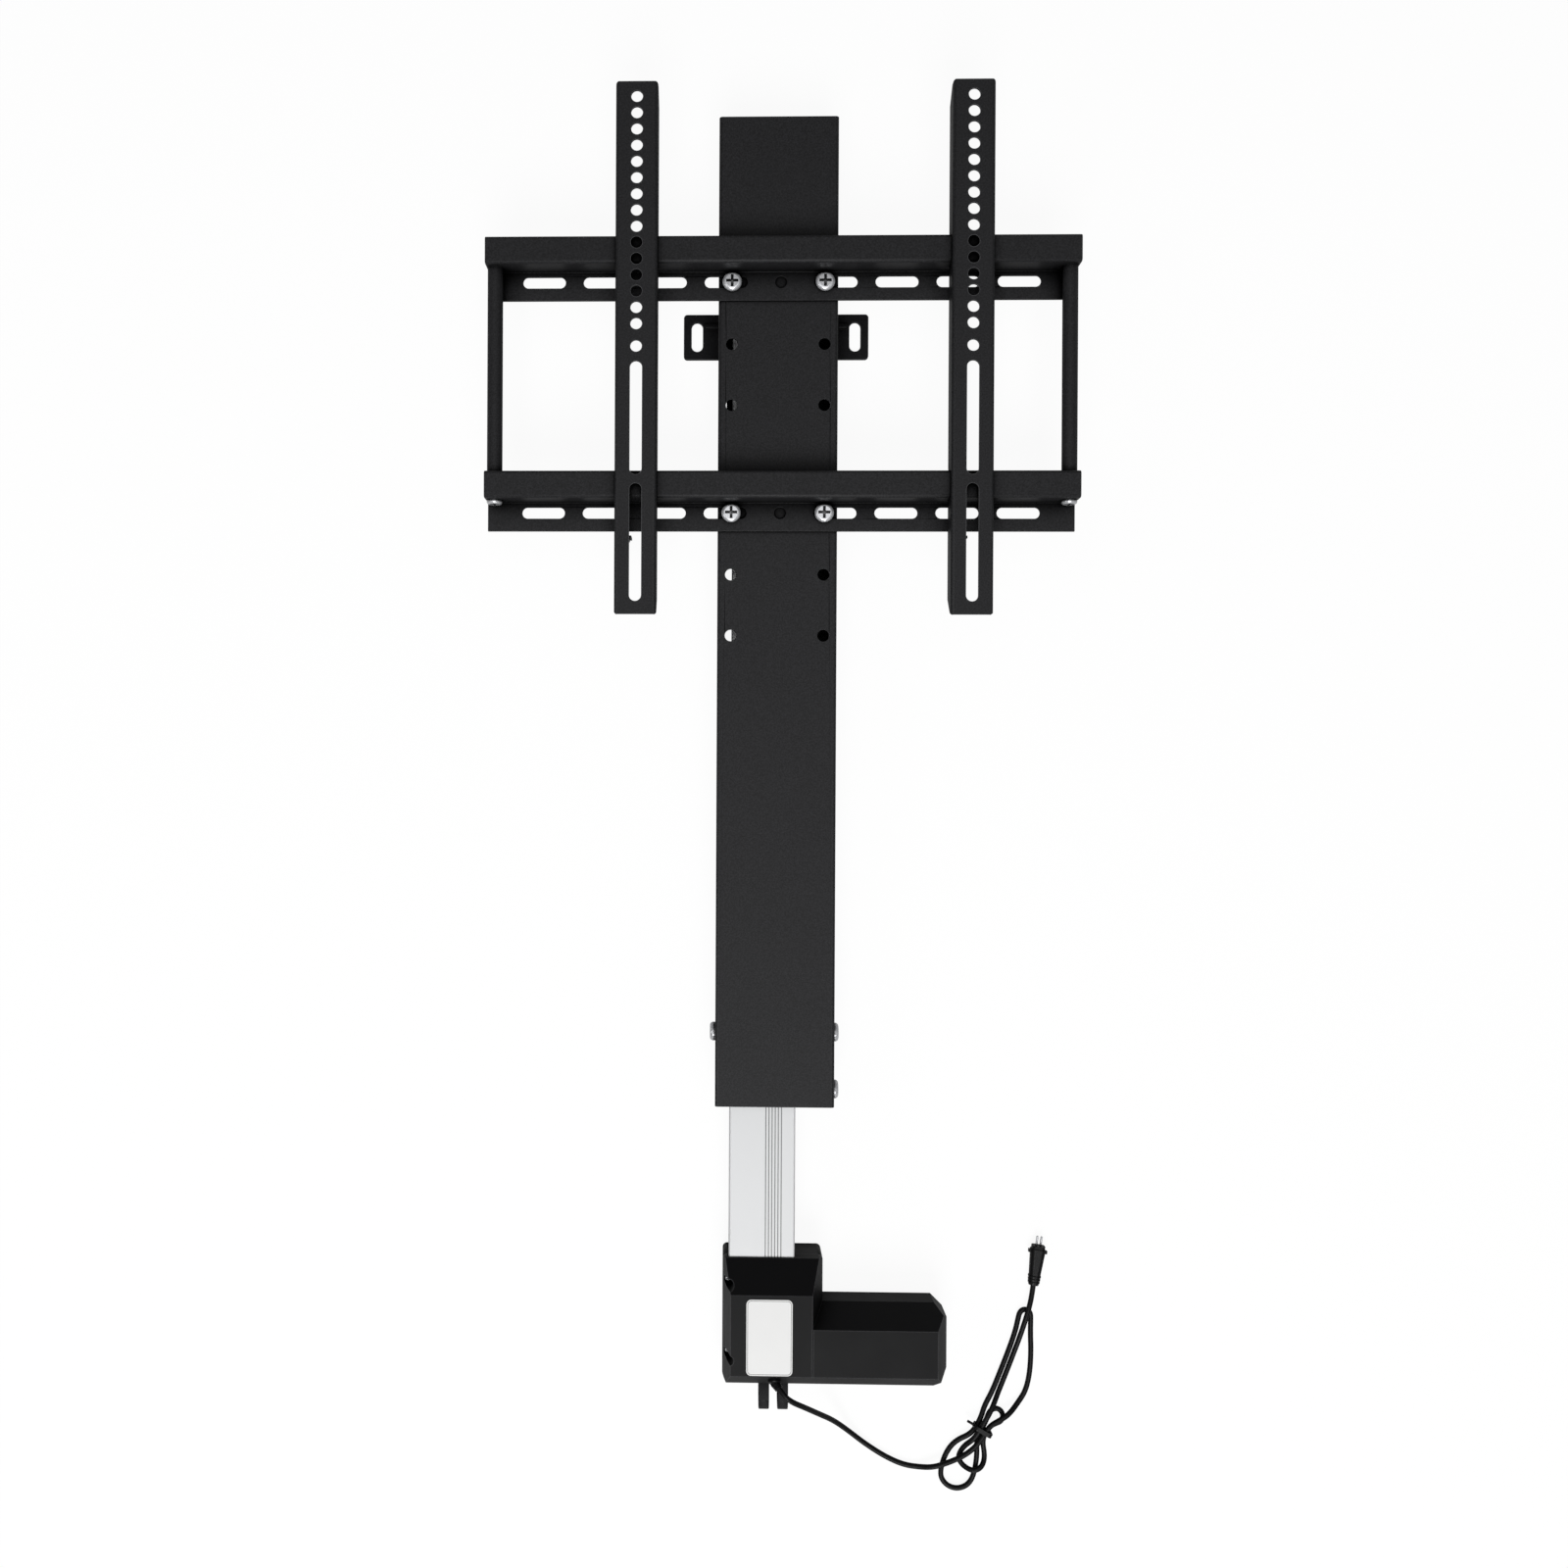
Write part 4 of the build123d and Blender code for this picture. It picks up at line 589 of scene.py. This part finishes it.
lower_loop_points = [
    (177.5, -558.8, 3.65), (170.2, -571.9, 3.65), (156.4, -578.6, 2.25), (147.9, -589.2, 2.25),
    (142.7, -606.8, 2.25), (147.0, -616.0, 2.25), (156.2, -620.3, 2.25), (166.0, -617.7, 2.25),
    (171.9, -609.4, 2.25), (174.8, -592.0, 2.25),
]
upper_loop_points = [
    (174.0, -575.3, 3.65), (181.5, -562.3, 3.65), (183.6, -556.6, 2.65), (186.2, -552.1, 2.25),
    (190.8, -550.2, 2.25), (195.2, -552.5, 2.25), (197.0, -557.3, 2.25), (194.9, -561.8, 2.25),
    (190.4, -563.4, 2.65), (186.2, -565.0, 3.65), (183.2, -569.0, 3.65),
]
inner_loop_points = [
    (178.8, -576.9, 3.65), (181.7, -592.7, 2.25), (177.6, -599.8, 7.45), (169.9, -602.6, 7.45),
    (162.2, -599.8, 2.25), (158.1, -592.7, 2.25), (163.2, -583.5, 2.25), (171.8, -574.0, 8.65),
    (179.8, -560.2, 8.65),
]
tail_points = [
    (182.8, -555.0, 8.65), (187.0, -547.6, 7.45), (192.3, -537.2, 2.25), (197.9, -523.2, 2.25),
    (205.1, -504.2, 2.25), (209.4, -489.5, 5.72), (213.4, -476.0, 7.45), (217.0, -464.0, 7.45),
    (220.0, -453.5, 5.3), (221.3, -443.0, 5.3),
]
hank_points = bight_points + lower_loop_points + upper_loop_points + inner_loop_points
route = lead_points + hank_points + tail_points
print("cord control points", len(route))

# %% The lead as one curve
cord_width = 4.5
cord_curve = bpy.data.curves.new("low_voltage_lead", "CURVE")
cord_curve.dimensions = "3D"
cord_line = cord_curve.splines.new("NURBS")
cord_line.points.add(len(route) - 1)
for control, (x, y, z) in zip(cord_line.points, route):
    control.co = (x * mm, y * mm, z * mm, 1.0)
cord_line.order_u = 3
cord_line.use_endpoint_u = True
cord_line.resolution_u = 8
cord_curve.bevel_depth = cord_width / 2 * mm
cord_curve.bevel_resolution = 5
cord_curve.use_fill_caps = True
lead = bpy.data.objects.new("low_voltage_lead", cord_curve)
bpy.context.scene.collection.objects.link(lead)
lead.data.materials.append(pvc_sheath)
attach(lead, "base")
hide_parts("cord_lead", "cord_hank", "cord_tail")
print("cord", cord_width, "mm thick")

# %% [markdown]
# ## The strain relief
#
# Where the lead leaves the housing a ribbed sleeve stops it from kinking. It is a short cone of
# rings that leans towards the connector. The profile could be spun round an axis, but then the
# axis has to be turned first. Here a disc is drawn up ring by ring: extruded along the sleeve and
# scaled at each step, wide at a rib and narrow between two, and turned into place at the end.

# %% A round piece from its profile
ring_sides = 40
smooth_below = math.radians(40)


def drawn_up(name, foot, way, profile):
    """A round piece drawn up from a disc. profile lists pairs of a distance along the way and a
    radius, in millimetres."""
    bpy.ops.object.select_all(action="DESELECT")
    bpy.ops.mesh.primitive_circle_add(vertices=ring_sides, radius=profile[0][1] * mm, fill_type="NGON")
    piece = bpy.context.object
    piece.name = name
    bpy.ops.object.mode_set(mode="EDIT")
    bpy.ops.mesh.select_all(action="SELECT")
    bpy.ops.transform.translate(value=(0, 0, profile[0][0] * mm))
    for (low, wide), (high, next_wide) in zip(profile, profile[1:]):
        bpy.ops.mesh.extrude_region_move(TRANSFORM_OT_translate={"value": (0, 0, (high - low) * mm)})
        grown = next_wide / wide
        bpy.ops.transform.resize(value=(grown, grown, 1), center_override=(0, 0, high * mm))
    bpy.ops.mesh.select_all(action="SELECT")
    bpy.ops.mesh.normals_make_consistent(inside=False)
    bpy.ops.object.mode_set(mode="OBJECT")
    piece.rotation_mode = "QUATERNION"
    piece.rotation_quaternion = way.to_track_quat("Z", "Y")
    piece.location = foot
    bpy.ops.object.transform_apply(location=True, rotation=True, scale=True)
    bpy.ops.object.shade_smooth_by_angle(angle=smooth_below)
    return piece


print("rings have", ring_sides, "sides")

# %% Profiles of the sleeve and its flange, in millimetres
rib_count = 5
rib_pitch = 1.28
first_rib = 0.9
rib_radius = 4.25
rib_taper = 0.17
rib_flat = 0.6
groove_side = 0.15
groove_depth = 0.75

sleeve_profile = [(0.0, 4.2)]
for rib in range(rib_count):
    start = first_rib + rib * rib_pitch
    radius = rib_radius - rib * rib_taper
    sleeve_profile.append((start, radius - groove_depth))
    sleeve_profile.append((start + groove_side, radius))
    sleeve_profile.append((start + groove_side + rib_flat, radius))
    sleeve_profile.append((start + groove_side + rib_flat + groove_side, radius - groove_depth))
sleeve_profile.append((7.2, 2.75))
flange_profile = [(-0.3, 5.2), (1.9, 5.2), (2.5, 4.6)]
print("sleeve ribs", rib_count, "on", sleeve_profile[-1][0], "mm")

# %% Sleeve and flange in place
gland_foot = Vector((-1.0, -508.75, 53.5)) * mm
flange_way = Vector((0.0, -0.817, 0.577)).normalized()
sleeve_lean = math.radians(35)
sleeve_start = 1.25 * mm
sideways = Vector((1, 0, 0))
sleeve_way = (flange_way * math.cos(sleeve_lean) + sideways * math.sin(sleeve_lean)).normalized()

sleeve = drawn_up("gland_sleeve", gland_foot + flange_way * sleeve_start, sleeve_way, sleeve_profile)
flange = drawn_up("gland_flange", gland_foot, flange_way, flange_profile)
for piece in (sleeve, flange):
    piece.data.materials.append(smooth_plastic)
    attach(piece, "base")
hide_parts("cable_gland")
print("strain relief", len(sleeve.data.polygons) + len(flange.data.polygons), "faces")

# %% [markdown]
# ## The label's plate
#
# A white label sits on the housing's front: a satin film with a thin dark frame line near its
# rounded edge. The line could be drawn by a texture, but inset faces keep it sharp at any size.
# The film is a plane with bevelled corners, inset once for the frame line and once more for the
# field, then given 0.15 mm of thickness. It ripples slowly over its glue, every 11 mm or so. The
# specks of real ink are about 0.1 mm wide, and are drawn at 1.4 mm so that its tone varies at all.

# %% Film and ink
film_ripple = 11.0
ink_speck = 1.4

label_film, shader = new_finish("label_film", "#ececeb", roughness=0.38)
uneven_gloss(label_film, shader, film_ripple, gloss=(0.32, 0.44), detail=2.0)
frame_ink, shader = new_finish("label_ink", "#1d1d1e", roughness=0.45)
specks = uneven_gloss(frame_ink, shader, ink_speck, gloss=(0.38, 0.52), detail=2.0)
ink_colour = add_node(frame_ink, "ShaderNodeValToRGB", [("Fac", specks)])
ink_colour.color_ramp.elements[0].color = linear("#161617")
ink_colour.color_ramp.elements[1].color = linear("#2a2a2c")
feed(shader, "Base Color", ink_colour.outputs["Color"])
print("film ripple", film_ripple, "mm, ink specks", ink_speck, "mm")

# %% Label plate
label_middle = Vector((-5.45, -470.85, 62.05)) * mm
label_width = 37.8
label_height = 62.4
corner_radius = 4.0
margin = 0.9
frame_line = 0.4
film_thickness = 0.15

bpy.ops.object.select_all(action="DESELECT")
bpy.ops.mesh.primitive_plane_add(size=1.0, location=label_middle)
label = bpy.context.object
label.name = "label_plate"
label.scale = (label_width * mm, label_height * mm, 1.0)
bpy.ops.object.transform_apply(location=True, rotation=True, scale=True)
label.data.materials.append(label_film)
label.data.materials.append(frame_ink)
bpy.ops.object.mode_set(mode="EDIT")
bpy.ops.mesh.select_all(action="SELECT")
bpy.ops.mesh.bevel(offset=corner_radius * mm, segments=6, affect="VERTICES")
bpy.ops.mesh.inset(thickness=margin * mm, depth=0.0)
label.active_material_index = 1
bpy.ops.object.material_slot_assign()
bpy.ops.mesh.inset(thickness=frame_line * mm, depth=0.0)
label.active_material_index = 0
bpy.ops.object.material_slot_assign()
bpy.ops.object.mode_set(mode="OBJECT")
film = label.modifiers.new("film", "SOLIDIFY")
film.thickness = film_thickness * mm
film.offset = 1.0
bpy.ops.object.modifier_apply(modifier="film")
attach(label, "base")
print("label", len(label.data.polygons), "faces")

# %% [markdown]
# ## Floor and background
#
# The picture has a plain white ground. Lamps strong enough to turn a floor white would wash out
# the black coat. So the floor is a pale sheet that the camera sees as white through the Light
# Path node, while it still takes the object's soft shadow. What shines back from metal or gloss
# sees that white in part, and what is clear would see it in full. The world is white to the
# camera in the same way.

# %% What the camera and the shine see
white = (1, 1, 1, 1)
floor_mirrored = 0.3
world_mirrored = 0.2


def seen_part(owner, mirrored_part):
    """1 for what the camera sees, or would see through something clear, mirrored_part for what shines
    back from a surface, and 0 for all other light."""
    ray = add_node(owner, "ShaderNodeLightPath")
    direct = add_node(
        owner,
        "ShaderNodeMath",
        [(0, ray.outputs["Is Camera Ray"]), (1, ray.outputs["Is Transmission Ray"])],
        operation="MAXIMUM",
    )
    mirrored = add_node(
        owner, "ShaderNodeMath", [(0, ray.outputs["Is Glossy Ray"])], operation="MULTIPLY"
    )
    mirrored.inputs[1].default_value = mirrored_part
    seen = add_node(
        owner,
        "ShaderNodeMath",
        [(0, direct.outputs["Value"]), (1, mirrored.outputs["Value"])],
        operation="MAXIMUM",
    )
    return seen.outputs["Value"]


print("mirrored part", floor_mirrored, "of the floor and", world_mirrored, "of the world")

# %% Floor
floor_width = 9.0
floor_below = 0.4
floor_glow = 0.90
glow_strength = 1.03
lit_tone = "#8c8c8c"
seen_tone = "#f0f0f0"

paper, shader = new_finish("white_ground", lit_tone, roughness=0.9)
camera_ray = add_node(paper, "ShaderNodeLightPath").outputs["Is Camera Ray"]
paper_tone = add_node(paper, "ShaderNodeMix", [(0, camera_ray)], data_type="RGBA")
paper_tone.inputs[6].default_value = linear(lit_tone)
paper_tone.inputs[7].default_value = linear(seen_tone)
feed(shader, "Base Color", paper_tone.outputs[2])
glow_part = add_node(
    paper, "ShaderNodeMath", [(0, seen_part(paper, floor_mirrored))], operation="MULTIPLY"
)
glow_part.inputs[1].default_value = floor_glow
glow = add_node(paper, "ShaderNodeEmission", Color=white, Strength=glow_strength)
ground_mix = add_node(
    paper,
    "ShaderNodeMixShader",
    [(0, glow_part.outputs["Value"]), (1, shader.outputs["BSDF"]), (2, glow.outputs["Emission"])],
)
feed(paper.node_tree.nodes["Material Output"], "Surface", ground_mix.outputs["Shader"])
bpy.ops.mesh.primitive_plane_add(size=floor_width, location=(0, 0, -floor_below * mm))
ground = bpy.context.object
ground.name = "ground"
ground.data.materials.append(paper)
ground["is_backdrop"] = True
print("floor", floor_width, "m wide")

# %% World
world_fill = 0.08

world = bpy.data.worlds.new("studio")
bpy.context.scene.world = world
world.use_nodes = True
fill = world.node_tree.nodes["Background"]
fill.inputs["Color"].default_value = white
fill.inputs["Strength"].default_value = world_fill
backdrop = add_node(world, "ShaderNodeBackground", Color=white, Strength=1.0)
world_shaders = [(1, fill.outputs["Background"]), (2, backdrop.outputs["Background"])]
world_mix = add_node(
    world, "ShaderNodeMixShader", [(0, seen_part(world, world_mirrored)), *world_shaders]
)
feed(world.node_tree.nodes["World Output"], "Surface", world_mix.outputs["Shader"])
print("world fill", world_fill)

# %% [markdown]
# ## Lamps
#
# A single light from above would leave all slopes of the housing equally bright. In the picture
# its upper slopes are dark, so the main light comes slanting from the foot of the lift. A large
# soft light above brightens the screw heads, and weak ones fill from the sides and low from the
# foot. All are square and soft, as in a studio, and stay at a plain level, so that each colour
# renders about as it is written.

# %% Soft square lamps
view_middle = (-0.05, -0.1, 0)
lift_middle = (0, -0.1, 0)
foot_middle = (0, -0.5, 0)


def soft_light(name, place, aim, size, power):
    """A square lamp at place that faces aim. size is in metres and power in watts."""
    bpy.ops.object.light_add(type="AREA", location=place)
    lamp = bpy.context.object
    lamp.name = name
    lamp.data.size = size
    lamp.data.energy = power
    lamp.rotation_mode = "QUATERNION"
    lamp.rotation_quaternion = (Vector(aim) - Vector(place)).to_track_quat("-Z", "Y")
    return lamp


soft_light("overhead", (-0.05, -0.1, 2.3), view_middle, size=2.0, power=14.0)
soft_light("foot_key", (-0.05, -3.4, 4.2), view_middle, size=2.4, power=168.0)
soft_light("left_side", (-2.0, -0.4, 1.7), lift_middle, size=0.8, power=5.0)
soft_light("right_side", (2.0, -0.4, 1.7), lift_middle, size=0.8, power=0.8)
soft_light("low_foot", (0.2, -2.2, 0.5), foot_middle, size=0.8, power=6.0)
bpy.context.scene.view_settings.view_transform = "Standard"

# %% Sizes before and after, and the end
final_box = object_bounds()
cad_size = [high - low for low, high in zip(*cad_box)]
final_size = [high - low for low, high in zip(*final_box)]
print("grown by", [round(after - before, 4) for before, after in zip(cad_size, final_size)])
